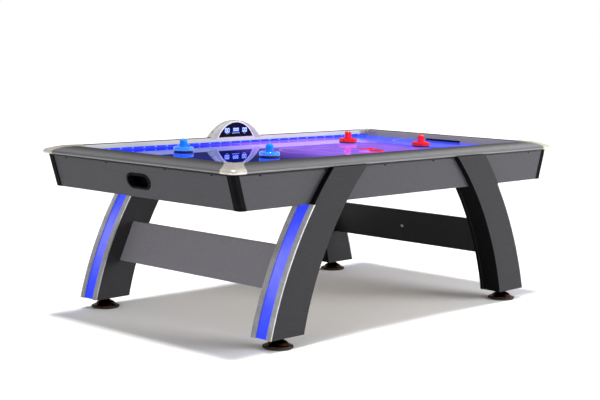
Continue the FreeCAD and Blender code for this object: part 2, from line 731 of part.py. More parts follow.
def power_cutouts():
    switch = power_box(POWER_X, SWITCH_HALF, 0, -POWER_DEPTH - 4, 1)
    inlet = power_box(INLET_X, INLET_HALF, 0, -POWER_DEPTH - 4, 1)
    return [switch, inlet]


# ---- mallets and pucks --------------------------------------------------------------------
def mallet(x, y):
    """Round mallet: raised ring, trough and domed knob, turned about its axis."""
    z = FIELD_TOP + FELT_THICKNESS
    radius = MALLET_RADIUS
    knob = KNOB_RADIUS
    high = KNOB_SHOULDER
    slope = knob * math.sqrt(0.5)

    def at(r, up):
        return Vector(x + r, y, z + up)

    rim = radius - RIM_WIDTH
    rim_foot = rim - 2
    outline = [
        line(at(0, 0), at(radius, 0)),
        line(at(radius, 0), at(radius, MALLET_RIM)),
        arc(at(radius, MALLET_RIM), at((radius + rim) / 2, MALLET_CROWN), at(rim, MALLET_RIM)),
        line(at(rim, MALLET_RIM), at(rim_foot, TROUGH_FLOOR)),
        line(at(rim_foot, TROUGH_FLOOR), at(knob + 1, TROUGH_FLOOR)),
        line(at(knob + 1, TROUGH_FLOOR), at(knob, high)),
        arc(at(knob, high), at(slope, high + slope), at(0, high + knob)),
        line(at(0, high + knob), at(0, 0)),
    ]
    return Part.Face(Part.Wire(outline)).revolve(Vector(x, y, 0), Vector(0, 0, 1), 360)


def mallet_felt(x, y):
    return disc(MALLET_RADIUS - 3, FIELD_TOP, FIELD_TOP + FELT_THICKNESS, x, y)


def puck():
    """A puck at the origin with rounded edges."""
    disk = disc(PUCK_RADIUS, 0, PUCK_THICKNESS)
    return disk.makeFillet(1.2, [e for e in disk.Edges if abs(e.BoundBox.ZLength) < 0.01])


def puck_flat():
    one = puck()
    one.translate(Vector(PUCK_FLAT[0], PUCK_FLAT[1], FIELD_TOP))
    return one


def puck_leaning():
    """Puck with one edge on the field and the other resting on the flat puck."""
    one = puck()
    reach = PUCK_LEANING[1] - PUCK_FLAT[1]
    tilt = math.degrees(math.asin(PUCK_THICKNESS / reach))
    one.rotate(Vector(0, PUCK_RADIUS, 0), Vector(1, 0, 0), -tilt)
    one.translate(Vector(PUCK_LEANING[0], PUCK_LEANING[1], FIELD_TOP + 0.05))
    return one


# ---- every node ---------------------------------------------------------------------------
def build_parts():
    parts = {}
    for side_name, side in FRONT_REAR.items():
        apron = on_side(side_apron(), 1, side)
        if side > 0:
            for cutout in power_cutouts():
                apron = apron.cut(cutout)
        parts["side_apron_" + side_name] = apron
        parts["side_rail_" + side_name] = on_side(side_rail(), 1, side)
        for end_name, end in LEFT_RIGHT.items():
            place = side_name + "_" + end_name
            parts["leg_" + place] = on_side(leg(), end, side)
            parts["foot_pad_" + place] = on_side(foot_pad(), end, side)
            parts["foot_leveller_" + place] = on_side(foot_leveller(), end, side)
    for end_name, end in LEFT_RIGHT.items():
        parts["end_apron_" + end_name] = on_side(end_apron(), end, 1)
        parts["end_rail_" + end_name] = on_side(end_rail(), end, 1)
        parts["end_stretcher_" + end_name] = on_side(end_stretcher(), end, 1)
        parts["goal_box_" + end_name] = on_side(goal_box(), end, 1)
        parts["puck_return_" + end_name] = on_side(puck_return(), end, 1)
    parts["corner_posts"] = all_corners(corner_post())
    parts["corner_caps"] = all_corners(corner_cap())
    parts["rail_light_strips"] = rail_light_strips()
    parts["playfield"] = playfield()
    parts["plenum_floor"] = plenum_floor()
    parts["plenum_ribs"] = plenum_ribs()
    parts["leg_mount_boards"] = [on_side(leg_mount_board(), end, 1) for end in (-1, 1)]
    parts["leg_light_panels"] = all_corners(leg_light_panel())
    parts["leg_trim_strips"] = [s for trim in leg_trims() for s in all_corners(trim)]
    parts["stretcher_caps"] = [on_side(stretcher_cap(), end, 1) for end in (-1, 1)]
    screws = [on_side(s, end, 1) for s in end_screws(SCREW_SHANK) for end in (-1, 1)]
    screws += [on_side(s, 1, side) for s in side_screws(SCREW_SHANK) for side in (-1, 1)]
    parts["rail_screws"] = screws
    parts["scorer_housing"] = scorer_housing()
    parts["scorer_bezel"] = scorer_bezel()
    parts["scorer_lens"] = scorer_lens()
    parts["scorer_board"] = scorer_board()
    for name, x in BUTTONS.items():
        parts["scorer_button_" + name] = scorer_button(x)
    parts["blower_housing"] = blower_housing()
    parts["blower_grille"] = blower_grille()
    parts["blower_motor"] = blower_motor()
    parts["blower_impeller"] = blower_impeller()
    parts["power_switch_body"] = power_switch_body()
    parts["power_rocker"] = power_rocker()
    parts["power_inlet"] = power_inlet()
    for name, (x, y) in MALLETS.items():
        parts["mallet_" + name] = mallet(x, y)
        parts["mallet_felt_" + name] = mallet_felt(x, y)
    parts["puck_flat"] = puck_flat()
    parts["puck_leaning"] = puck_leaning()
    return parts


os.makedirs("parts", exist_ok=True)
for node, shape in build_parts().items():
    if isinstance(shape, list):
        shape = Part.makeCompound(shape)
    shape.exportStep("parts/" + node + ".step")
    print(node, len(shape.Solids), round(shape.Volume / 1000), "cm3", shape.isValid())
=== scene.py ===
import json
import math

import bmesh
import bpy
from mathutils import Matrix, Vector


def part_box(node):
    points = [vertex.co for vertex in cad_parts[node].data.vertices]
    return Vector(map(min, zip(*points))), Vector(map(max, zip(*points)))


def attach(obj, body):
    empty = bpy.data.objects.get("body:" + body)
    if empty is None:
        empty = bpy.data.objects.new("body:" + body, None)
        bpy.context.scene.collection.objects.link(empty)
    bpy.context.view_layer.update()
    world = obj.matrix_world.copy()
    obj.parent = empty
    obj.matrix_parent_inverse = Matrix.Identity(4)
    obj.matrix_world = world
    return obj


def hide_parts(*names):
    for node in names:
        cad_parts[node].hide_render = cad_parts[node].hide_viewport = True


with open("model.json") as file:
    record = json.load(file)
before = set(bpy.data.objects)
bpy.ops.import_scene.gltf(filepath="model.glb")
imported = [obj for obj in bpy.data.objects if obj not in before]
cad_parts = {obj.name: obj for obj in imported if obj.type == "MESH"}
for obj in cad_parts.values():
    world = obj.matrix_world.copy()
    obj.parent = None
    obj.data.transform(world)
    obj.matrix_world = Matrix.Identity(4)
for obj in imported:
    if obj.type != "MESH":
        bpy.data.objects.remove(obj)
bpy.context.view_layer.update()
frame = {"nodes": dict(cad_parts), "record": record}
NODES = frame["nodes"]
TABLE = "table"
MM = 0.001

# ---- sizes read from the frame ------------------------------------------------------------
rail_low, rail_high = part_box("side_rail_rear")
HALF_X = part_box("end_rail_right")[1].x
HALF_Y = rail_high.y
RAIL_WIDTH = rail_high.y - rail_low.y
FIELD_Z = rail_low.z
RIDGE = rail_high.z - rail_low.z

# The rail's section, as on the frame. Heights are above the field, depths are in from the
# outer edge.
LIP = 17 * MM           # height of the outer edge
CREST = 32 * MM         # height of the top, half way across
LEDGE = 13 * MM         # height of the side recess
LIGHT_WALL = 85 * MM    # depth of the side recess's back wall

# the corner castings: a little past the rails, and the plan of the edge that meets a rail
CAP_PROUD = 6 * MM
CAP_RAISE = 2 * MM
CAP_RADIUS = 28 * MM
CAP_INNER_RADIUS = 14 * MM
CAP_EDGE = ((72 * MM, 0.0), (106 * MM, 50 * MM), (162 * MM, 93 * MM))

# the goal slots in the end rails, and how far out they reach from the table's middle
GOAL_HALF_WIDTH = 115 * MM
GOAL_HEIGHT = 11 * MM
GOAL_REACH = 1112 * MM

# the aprons' outer faces, where they meet the rails
END_FACE = 1123 * MM
SIDE_FACE = 606 * MM


# ---- mesh helpers -------------------------------------------------------------------------
def piece_from(name, verts, faces, material, smooth=40.0):
    """A mesh object with smooth shading up to the given angle between faces."""
    mesh = bpy.data.meshes.new(name)
    mesh.from_pydata([tuple(v) for v in verts], [], faces)
    work = bmesh.new()
    work.from_mesh(mesh)
    bmesh.ops.remove_doubles(work, verts=work.verts, dist=1e-6)
    bmesh.ops.recalc_face_normals(work, faces=work.faces)
    work.to_mesh(mesh)
    work.free()
    for polygon in mesh.polygons:
        polygon.use_smooth = True
    mesh.set_sharp_from_angle(angle=math.radians(smooth))
    obj = bpy.data.objects.new(name, mesh)
    bpy.context.scene.collection.objects.link(obj)
    mesh.materials.append(material)
    return obj


def place(obj, body, slot, *replaced):
    """The piece rides on a body and stands for the replaced nodes; its slot is not used."""
    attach(obj, body)
    if replaced:
        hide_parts(*replaced)
    return obj


def join(name, objects):
    """Several objects' meshes as one object."""
    work = bmesh.new()
    materials = []
    for obj in objects:
        start = len(work.faces)
        copy = obj.data.copy()
        copy.transform(obj.matrix_world)
        slots = []
        for material in copy.materials:
            if material not in materials:
                materials.append(material)
            slots.append(materials.index(material))
        work.from_mesh(copy)
        work.faces.ensure_lookup_table()
        for face in work.faces[start:]:
            face.material_index = slots[face.material_index]
        bpy.data.meshes.remove(copy)
    mesh = bpy.data.meshes.new(name)
    work.to_mesh(mesh)
    work.free()
    for material in materials:
        mesh.materials.append(material)
    for obj in objects:
        bpy.data.objects.remove(obj)
    result = bpy.data.objects.new(name, mesh)
    bpy.context.scene.collection.objects.link(result)
    return result


def rounded(points, radii, steps=4):
    """A closed 2-D outline with its corners rounded: one radius for each point."""
    result = []
    count = len(points)
    for i, corner in enumerate(points):
        corner = Vector(corner)
        r = radii[i]
        if r == 0:
            result.append(corner)
            continue
        a = (Vector(points[i - 1]) - corner).normalized()
        b = (Vector(points[(i + 1) % count]) - corner).normalized()
        half = a.angle(b) / 2
        reach = r / math.tan(half)
        centre = corner + (a + b).normalized() * (r / math.sin(half))
        start = corner + a * reach - centre
        turn = start.angle_signed(corner + b * reach - centre)
        for k in range(steps + 1):
            angle = -turn * k / steps
            c, s = math.cos(angle), math.sin(angle)
            result.append(centre + Vector((start.x * c - start.y * s, start.x * s + start.y * c)))
    return result


def tube_faces(rings, size):
    """Faces of a capped tube: rings of size points each, numbered ring by ring."""
    faces = []
    for i in range(rings - 1):
        a = i * size
        b = a + size
        for j in range(size):
            k = (j + 1) % size
            faces.append((a + j, a + k, b + k, b + j))
    faces.append(tuple(range(size)))
    faces.append(tuple(reversed(range((rings - 1) * size, rings * size))))
    return faces


def lathe(name, profile, centre, material, segments=64, smooth=40.0):
    """A closed profile of (radius, height) points turned about an upright axis at centre."""
    verts = []
    faces = []
    count = len(profile)
    for s in range(segments):
        angle = 2 * math.pi * s / segments
        for r, z in profile:
            verts.append((centre[0] + r * math.cos(angle), centre[1] + r * math.sin(angle), centre[2] + z))
    for s in range(segments):
        a = s * count
        b = (s + 1) % segments * count
        for j in range(count - 1):
            faces.append((a + j, b + j, b + j + 1, a + j + 1))
    return piece_from(name, verts, faces, material, smooth)


def rounded_profile(points, radii, steps=4):
    """An open (radius, height) profile with rounded corners, its two ends on the axis."""
    loop = rounded(points, [0] + list(radii) + [0], steps)
    return [(max(p.x, 0.0), p.y) for p in loop]


BOX_FACES = [(0, 1, 3, 2), (4, 6, 7, 5), (0, 4, 5, 1), (2, 3, 7, 6), (0, 2, 6, 4), (1, 5, 7, 3)]


def block(name, low, high, material, bevel=0.0):
    """A box between two corners, its edges rounded if a bevel is given."""
    xs, ys, zs = zip(low, high)
    obj = piece_from(name, [(x, y, z) for x in xs for y in ys for z in zs], BOX_FACES, material)
    if bevel:
        add_bevel(obj, bevel)
    return obj


def add_bevel(obj, width):
    modifier = obj.modifiers.new("bevel", "BEVEL")
    modifier.width = width
    modifier.segments = 2
    modifier.limit_method = "ANGLE"
    modifier.angle_limit = math.radians(35)
    apply_modifiers(obj)


def apply_modifiers(obj):
    bpy.context.view_layer.update()
    graph = bpy.context.evaluated_depsgraph_get()
    mesh = bpy.data.meshes.new_from_object(obj.evaluated_get(graph))
    obj.modifiers.clear()
    obj.data = mesh
    for polygon in mesh.polygons:
        polygon.use_smooth = True
    mesh.set_sharp_from_angle(angle=math.radians(40))


def cut_away(obj, cutter):
    """Cut the cutter's shape out of obj; the cutter itself goes."""
    modifier = obj.modifiers.new("cut", "BOOLEAN")
    modifier.operation = "DIFFERENCE"
    modifier.solver = "EXACT"
    modifier.object = cutter
    apply_modifiers(obj)
    bpy.data.objects.remove(cutter)


# ---- material helpers ---------------------------------------------------------------------
class Shader:
    """A material's node tree, built by short calls."""

    def __init__(self, name):
        self.material = bpy.data.materials.new(name)
        self.material.use_nodes = True
        self.tree = self.material.node_tree
        self.bsdf = self.tree.nodes["Principled BSDF"]
        source = self.tree.nodes.new("ShaderNodeTexCoord")
        self.coord = source.outputs["Object"]
        self.normal = source.outputs["Normal"]

    def link(self, source, target):
        """Connect another node's output to an input, or set the input to a number or colour."""
        if isinstance(source, (int, float)):
            target.default_value = source
        elif isinstance(source, (tuple, list)):
            target.default_value = tuple(source) + (1.0,) * (len(target.default_value) - len(source))
        else:
            self.tree.links.new(source, target)

    def set(self, **inputs):
        for key, value in inputs.items():
            self.link(value, self.bsdf.inputs[key.replace("_", " ")])

    def math(self, operation, a, b=0.0, clamp=False):
        node = self.tree.nodes.new("ShaderNodeMath")
        node.operation = operation
        node.use_clamp = clamp
        self.link(a, node.inputs[0])
        self.link(b, node.inputs[1])
        return node.outputs[0]

    def product(self, first, *others):
        """All the values multiplied; for masks of 0 and 1, where all of them are 1."""
        for other in others:
            first = self.math("MULTIPLY", first, other)
        return first

    def absolute(self, value):
        return self.math("ABSOLUTE", value)

    def distance(self, a, b):
        return self.math("SQRT", self.math("ADD", self.math("POWER", a, 2.0), self.math("POWER", b, 2.0)))

    def axes(self, vector=None):
        node = self.tree.nodes.new("ShaderNodeSeparateXYZ")
        self.link(vector or self.coord, node.inputs[0])
        return node.outputs

    def mapped(self, scale):
        node = self.tree.nodes.new("ShaderNodeMapping")
        node.inputs["Scale"].default_value = scale
        self.link(self.coord, node.inputs["Vector"])
        return node.outputs[0]

    def noise(self, scale, detail=2.0, rough=0.5, vector=None):
        node = self.tree.nodes.new("ShaderNodeTexNoise")
        node.inputs["Scale"].default_value = scale
        node.inputs["Detail"].default_value = detail
        node.inputs["Roughness"].default_value = rough
        self.link(vector or self.coord, node.inputs["Vector"])
        return node.outputs["Fac"]

    def voronoi(self, scale, output, randomness=1.0):
        node = self.tree.nodes.new("ShaderNodeTexVoronoi")
        node.inputs["Scale"].default_value = scale
        node.inputs["Randomness"].default_value = randomness
        self.link(self.coord, node.inputs["Vector"])
        return node.outputs[output]

    def ramp(self, factor, *stops):
        """A colour for the factor, blended between stops of (position, colour)."""
        node = self.tree.nodes.new("ShaderNodeValToRGB")
        elements = node.color_ramp.elements
        while len(elements) < len(stops):
            elements.new(0.5)
        for element, (position, colour) in zip(elements, stops):
            element.position = position
            element.color = tuple(colour) + (1.0,)
        self.link(factor, node.inputs[0])
        return node.outputs[0]

    def mix(self, factor, a, b):
        node = self.tree.nodes.new("ShaderNodeMix")
        node.data_type = "RGBA"
        self.link(factor, node.inputs["Factor"])
        self.link(a, node.inputs[6])
        self.link(b, node.inputs[7])
        return node.outputs[2]

    def facing(self):
        """0 where the surface faces the viewer, 1 at its rims."""
        node = self.tree.nodes.new("ShaderNodeLayerWeight")
        node.inputs["Blend"].default_value = 0.5
        return node.outputs["Facing"]

    def span(self, value, low, high, to_low=0.0, to_high=1.0):
        """A smooth step from to_low to to_high as the value goes from low to high."""
        node = self.tree.nodes.new("ShaderNodeMapRange")
        node.interpolation_type = "SMOOTHSTEP"
        for key, number in (("From Min", low), ("From Max", high), ("To Min", to_low), ("To Max", to_high)):
            node.inputs[key].default_value = number
        self.link(value, node.inputs["Value"])
        return node.outputs["Result"]

    def bump(self, height, distance, strength=1.0):
        node = self.tree.nodes.new("ShaderNodeBump")
        node.inputs["Distance"].default_value = distance
        node.inputs["Strength"].default_value = strength
        self.link(height, node.inputs["Height"])
        self.link(node.outputs[0], self.bsdf.inputs["Normal"])


def turned_inwards(s, steepness):
    """1 on the steep faces turned to the table's middle, 0 on all others."""
    x, y, _ = s.axes()
    nx, ny, nz = s.axes(s.normal)
    outwards = s.math("ADD", s.product(x, nx), s.product(y, ny))
    return s.product(s.math("LESS_THAN", outwards, 0.0), s.math("LESS_THAN", s.absolute(nz), steepness))


def foil_grain(s, dark, light, rough):
    """Printed board foil: a fine speckle, faint streaks along the board and a slight pebble."""
    grain = s.noise(900, 3, 0.65)
    streak = s.noise(40, 3, 0.6, s.mapped((1, 1, 14)))
    tone = s.math("ADD", s.product(grain, 0.7), s.product(streak, 0.3))
    s.set(Roughness=s.span(grain, 0.35, 0.7, rough - 0.06, rough + 0.08), Specular_IOR_Level=0.12)
    s.bump(s.noise(1400, 2, 0.6), 0.00005, 0.4)
    return s.ramp(tone, (0.38, dark), (0.62, light))


def laminate(name, dark, light, rough):
    s = Shader(name)
    s.set(Base_Color=foil_grain(s, dark, light, rough))
    return s.material


def leg_laminate():
    """Foil on the legs' broad faces; near black on their curved edges, partly black banding and partly
    painted shade.
    """
    s = Shader("leg laminate")
    face = foil_grain(s, (0.021, 0.0205, 0.022), (0.034, 0.033, 0.0355), 0.42)
    # near black on the curved edge faces: black banding, deepened as painted shade under the cabinet
    edge = s.math("LESS_THAN", s.absolute(s.axes(s.normal)[1]), 0.5)
    s.set(Base_Color=s.mix(edge, face, (0.003, 0.003, 0.0035)), IOR=1.2)
    return s.material


def stretcher_lit_and_shaded():
    """Foil outside, painted lighter than the other boards' foil as painted light; the face turned to the
    table's middle painted near black as painted shade.
    """
    s = Shader("stretcher painted light and shade")
    # painted light: the outer foil is lighter than on the other boards
    face = foil_grain(s, (0.135, 0.131, 0.146), (0.205, 0.200, 0.222), 0.42)
    # painted shade: near black on the face turned to the table's middle
    shaded_inner_side = s.math("LESS_THAN", s.product(s.axes(s.normal)[0], s.axes()[0]), 0.0)
    s.set(Base_Color=s.mix(shaded_inner_side, face, (0.012, 0.012, 0.013)))
    return s.material


def rail_foil():
    """Graphite foil over the top with painted shade darker towards the ridge, inner faces painted pale
    silver as painted light, a painted blue glow in the side recess, and goal slots painted near black as
    painted shade.
    """
    s = Shader("rail foil")
    x, y, z = s.axes()
    flake = s.axes(s.voronoi(2600, "Color"))[0]
    tone = s.math("ADD", s.product(flake, 0.2), s.product(s.noise(700, 2, 0.6), 0.8))
    # the top is paler at the lip and darker towards the ridge: painted light and shade
    pale = s.ramp(tone, (0.2, (0.135, 0.134, 0.138)), (0.8, (0.18, 0.179, 0.184)))
    deep = s.ramp(tone, (0.2, (0.050, 0.048, 0.047)), (0.8, (0.068, 0.065, 0.064)))
    graphite_with_painted_shade = s.mix(s.span(z, FIELD_Z + LIP + 8 * MM, FIELD_Z + RIDGE - 1 * MM), pale, deep)
    # painted light: the inner faces are painted pale silver as lit; those across the table, on the end
    # rails, painted yellower to offset the field's blue light
    along = s.ramp(tone, (0.2, (0.46, 0.48, 0.42)), (0.8, (0.58, 0.60, 0.53)))
    across = s.ramp(tone, (0.2, (0.45, 0.42, 0.22)), (0.8, (0.52, 0.49, 0.26)))
    silver = s.mix(s.math("GREATER_THAN", s.absolute(s.axes(s.normal)[0]), 0.5), along, across)
    inner = turned_inwards(s, 0.3)
    rough = s.span(s.noise(35), 0.3, 0.7, 0.34, 0.4)

    reach = s.absolute(x)
    depth = s.absolute(y)
    # painted glow: the faces in the side recess glow blue with the strip's light
    recess = s.product(
        s.math("LESS_THAN", z, FIELD_Z + LEDGE + 0.3 * MM),
        s.math("GREATER_THAN", depth, HALF_Y - RAIL_WIDTH + 0.8 * MM),
        s.math("LESS_THAN", depth, HALF_Y - LIGHT_WALL + 1 * MM),
        s.math("LESS_THAN", reach, HALF_X - RAIL_WIDTH + 1 * MM),
    )
    # painted shade: the faces in the goal slots are near black
    slot = s.product(
        s.math("LESS_THAN", z, FIELD_Z + GOAL_HEIGHT + 0.3 * MM),
        s.math("LESS_THAN", depth, GOAL_HALF_WIDTH + 0.2 * MM),
        s.math("GREATER_THAN", reach, HALF_X - RAIL_WIDTH + 0.5 * MM),
        s.math("LESS_THAN", reach, GOAL_REACH + 0.5 * MM),
    )
    foil = s.mix(recess, s.mix(inner, graphite_with_painted_shade, silver), (0.004, 0.006, 0.06))
    s.set(Base_Color=s.mix(slot, foil, (0.002, 0.002, 0.002)))
    s.set(Metallic=s.span(inner, 0, 1, 0.6, 0.1), Roughness=rough)
    # the recess's painted glow
    s.set(Emission_Color=(0.040, 0.055, 0.86), Emission_Strength=recess)
    return s.material


def casting_plate():
    """Satin champagne plating, painted a little deeper and yellower on the faces turned to the field to
    offset the blue light it throws: painted light.
    """
    s = Shader("satin silver")
    cloud = s.noise(14, 4, 0.6)
    marks = s.noise(60, 4, 0.7, s.mapped((1, 1, 12)))
    plate = s.ramp(cloud, (0.35, (0.43, 0.395, 0.355)), (0.7, (0.52, 0.48, 0.435)))
    # painted light: a yellower plate on the faces turned to the field, offsetting its blue glow
    field_glow_offset = s.ramp(cloud, (0.35, (0.47, 0.44, 0.31)), (0.7, (0.55, 0.51, 0.37)))
    s.set(Base_Color=s.mix(turned_inwards(s, 0.5), plate, field_glow_offset))
    s.set(Metallic=0.45, Roughness=s.span(marks, 0.3, 0.7, 0.26, 0.36))
    return s.material


def plated(name, dark, light, rough, metallic=1.0):
    """Satin plating with slight clouding and fine polishing marks."""
    s = Shader(name)
    cloud = s.noise(14, 4, 0.6)
    marks = s.noise(60, 4, 0.7, s.mapped((1, 1, 12)))
    s.set(Base_Color=s.ramp(cloud, (0.35, dark), (0.7, light)))
    s.set(Metallic=metallic, Roughness=s.span(marks, 0.3, 0.7, rough - 0.04, rough + 0.06))
    return s.material


def moulded(name, colour, rough, coat=0.0, texture=500, shine=0.5, ior=1.5):
    """Moulded plastic with a fine texture and faint mottling."""
    s = Shader(name)
    dark = tuple(c * 0.85 for c in colour)
    light = tuple(c * 1.15 + 0.001 for c in colour)
    fine = s.noise(texture, 2, 0.6)
    s.set(Base_Color=s.ramp(s.noise(20, 3, 0.6), (0.3, dark), (0.7, light)))
    s.set(Roughness=s.span(fine, 0.3, 0.7, rough - 0.05, rough + 0.07))
    s.set(Coat_Weight=coat, Coat_Roughness=0.12, Specular_IOR_Level=shine, IOR=ior)
    s.bump(fine, 0.00008, 0.5)
    return s.material


def glowing(name, colour, emission, strength):
    """A plain surface that gives light."""
    s = Shader(name)
    s.set(Base_Color=colour, Roughness=0.3, Emission_Color=emission, Emission_Strength=strength)
    return s.material


def raw_board():
    """Uncoated wood-fibre board."""
    s = Shader("raw board")
    fibre = s.noise(320, 4, 0.7, s.mapped((1, 1, 3)))
    s.set(Base_Color=s.ramp(fibre, (0.3, (0.25, 0.19, 0.13)), (0.7, (0.42, 0.33, 0.24))), Roughness=0.8)
    s.bump(fibre, 0.0002, 0.5)
    return s.material


def leg_light():
    """Backlit blue diffuser: paler where the lamps behind are close, deeper at both ends."""
    s = Shader("leg light")
    height = s.axes()[2]
    glow = s.product(s.span(height, 0.05, 0.33), s.span(height, 0.60, 0.36))
    cloud = s.span(s.noise(18), 0.3, 0.7, -0.08, 0.08)
    tone = s.math("ADD", glow, cloud, clamp=True)
    colour = s.ramp(tone, (0.0, (0.012, 0.035, 1.0)), (0.55, (0.06, 0.08, 1.0)), (1.0, (0.16, 0.17, 1.0)))
    s.set(Base_Color=(0.02, 0.03, 0.3), Roughness=0.35, Emission_Color=colour, Emission_Strength=1.0)
    s.bump(s.noise(900, 1, 0.5), 0.00004, 0.4)
    return s.material


LAMP_PITCH = 72 * MM


def rail_light():
    """Blue diffuser strip, a little brighter where each lamp sits behind it."""
    s = Shader("rail light")
    beat = s.math("PINGPONG", s.axes()[0], LAMP_PITCH / 2)
    near = s.span(beat, LAMP_PITCH / 4, LAMP_PITCH / 2)
    colour = s.ramp(near, (0.0, (0.040, 0.055, 0.86)), (1.0, (0.055, 0.11, 1.0)))
    s.set(Base_Color=(0.01, 0.015, 0.15), Roughness=0.5, Specular_IOR_Level=0.05)
    s.set(Emission_Color=colour, Emission_Strength=0.95)
    return s.material


CENTRE_RING = 160 * MM
GOAL_RING = 270 * MM
LINE_HALF = 4 * MM          # half the width of the printed lines
HOLE_PITCH = 25 * MM
HOLE_RADIUS = 0.7 * MM


def field_print():
    """Gloss laminate printed blue to violet, with lines, pale strokes and a grid of air holes, and a
    painted glow in the print's own colour.
    """
    s = Shader("field print with painted glow")
    x, y, _ = s.axes()
    run = s.math("ADD", x, s.product(y, -0.25))
    cloud = s.noise(2.2, 3, 0.55, s.mapped((1.0, 2.5, 1)))
    tone = s.math("ADD", s.span(run, -1.2, 1.2), s.product(s.math("SUBTRACT", cloud, 0.5), 0.16))
    base = s.ramp(
        tone,
        (0.0, (0.010, 0.016, 0.24)),
        (0.14, (0.004, 0.007, 0.13)),
        (0.24, (0.004, 0.006, 0.11)),
        (0.37, (0.13, 0.05, 0.46)),
        (0.46, (0.30, 0.13, 0.86)),
        (0.80, (0.34, 0.15, 0.95)),
        (0.90, (0.06, 0.09, 0.95)),
        (1.0, (0.05, 0.08, 0.90)),
    )
    # rings round the middle and at the goals, and a centre line
    off_centre = s.math("SUBTRACT", s.distance(x, y), CENTRE_RING)
    goal_x = s.math("SUBTRACT", s.absolute(x), HALF_X - RAIL_WIDTH)
    off_goal = s.math("SUBTRACT", s.distance(goal_x, y), GOAL_RING)
    lines = 0.0
    for offset in (off_centre, off_goal, x):
        lines = s.math("MAXIMUM", lines, s.math("LESS_THAN", s.absolute(offset), LINE_HALF))
    printed = s.mix(s.product(lines, 0.7), base, (0.55, 0.38, 0.95))
    # pale sweeping strokes towards the right
    strokes = s.noise(6.0, 4, 0.62, s.mapped((0.6, 4.0, 1)))
    pale = s.product(s.span(strokes, 0.52, 0.68), s.span(x, -0.1, 0.15), s.span(x, 0.62, 0.45))
    printed = s.mix(s.product(pale, 0.55), printed, (0.60, 0.45, 1.0))
    # air holes on a square grid
    from_hole = s.distance(s.math("PINGPONG", x, HOLE_PITCH / 2), s.math("PINGPONG", y, HOLE_PITCH / 2))
    colour = s.mix(s.math("LESS_THAN", from_hole, HOLE_RADIUS), printed, (0.005, 0.0, 0.02))
    s.set(Base_Color=s.mix(0.5, colour, (0.45, 0.42, 1.0)), Metallic=1.0, Roughness=0.02)
    # its reflections are tinted as the print is
    tint = s.ramp(
        tone,
        (0.3, (0.40, 0.48, 1.0)),
        (0.55, (0.46, 0.36, 1.0)),
        (0.8, (0.44, 0.36, 1.0)),
        (0.9, (0.22, 0.28, 1.0)),
    )
    # painted glow: the field gives light in its print's colour, though it is no lamp
    s.set(Specular_Tint=tint, Emission_Color=colour, Emission_Strength=0.9)
    return s.material


def tinted_plastic(name, colour, glow, transmission, strength, coat=0.6):
    """Glossy coloured plastic with a faint painted glow in its own colour."""
    s = Shader(name)
    swirl = s.noise(30, 3, 0.6)
    light = tuple(min(c * 1.2 + 0.01, 1) for c in colour)
    s.set(Base_Color=s.ramp(swirl, (0.3, colour), (0.7, light)))
    s.set(Roughness=s.span(swirl, 0.3, 0.7, 0.06, 0.14))
    s.set(Transmission_Weight=transmission, IOR=1.46, Coat_Weight=coat, Coat_Roughness=0.05)
    # painted glow: emission though the plastic is no lamp
    s.set(Emission_Color=glow, Emission_Strength=strength)
    s.bump(s.noise(400), 0.00003, 0.3)
    return s.material


def clear_blue():
    """Clear blue plastic with a painted glow: deep blue face on, with paler painted glints towards its
    rims.
    """
    s = Shader("clear blue")
    swirl = s.noise(30, 3, 0.6)
    # painted glow and glint: deep blue face on, near white at the rims
    glow = s.ramp(
        s.facing(),
        (0.0, (0.0, 0.08, 0.80)),
        (0.5, (0.01, 0.15, 0.90)),
        (0.72, (0.22, 0.48, 1.0)),
        (0.95, (0.75, 0.88, 1.0)),
    )
    s.set(Base_Color=(0.16, 0.50, 1.0), Roughness=s.span(swirl, 0.3, 0.7, 0.04, 0.1))
    s.set(Transmission_Weight=0.75, IOR=1.46, Coat_Weight=0.6, Coat_Roughness=0.04)
    s.set(Emission_Color=glow, Emission_Strength=0.5)
    return s.material


def felt():
    """Dark pad cloth."""
    s = Shader("felt")
    fibre = s.noise(2200, 3, 0.8)
    s.set(Base_Color=s.ramp(fibre, (0.3, (0.006, 0.005, 0.008)), (0.8, (0.035, 0.02, 0.03))))
    s.set(Roughness=0.95, Sheen_Weight=0.4)
    s.bump(fibre, 0.0004, 0.8)
    return s.material


def circuit():
    """Green board with paler spots in rows."""
    s = Shader("circuit board")
    traces = s.voronoi(260, "Distance", 0.3)
    s.set(Base_Color=s.ramp(traces, (0.12, (0.05, 0.12, 0.04)), (0.2, (0.004, 0.06, 0.02))), Roughness=0.4)
    return s.material


GRAPHITE = rail_foil()
CHARCOAL = laminate("charcoal laminate", (0.034, 0.033, 0.037), (0.055, 0.0535, 0.059), 0.45)
LEG_CHARCOAL = leg_laminate()
STRETCHER_LIT_AND_SHADED = stretcher_lit_and_shaded()
SILVER = casting_plate()
TRIM = plated("brushed trim", (0.36, 0.36, 0.37), (0.50, 0.50, 0.51), 0.3, 0.5)
CHROME = plated("chrome", (0.75, 0.75, 0.76), (0.85, 0.85, 0.86), 0.1)
BRONZE = plated("bronze", (0.20, 0.085, 0.035), (0.36, 0.17, 0.08), 0.28)
HOUSING = moulded("scorer paint", (0.37, 0.37, 0.33), 0.35, shine=0.3)
BRIGHT = moulded("bezel paint", (0.66, 0.66, 0.58), 0.25, coat=0.2)
GLOSS_BLACK = moulded("gloss black", (0.002, 0.002, 0.0025), 0.28, shine=0.2, ior=1.15)
BLACK = moulded("moulded black", (0.008, 0.008, 0.009), 0.5, shine=0.25)
RUBBER = moulded("rubber", (0.012, 0.012, 0.013), 0.6, texture=900)
STEEL = plated("zinc steel", (0.5, 0.5, 0.52), (0.65, 0.65, 0.67), 0.3)
BOARD = raw_board()
LEG_LIGHT = leg_light()
RAIL_LIGHT = rail_light()
FIELD = field_print()
FELT = felt()
CIRCUIT = circuit()
CLEAR_BLUE = clear_blue()
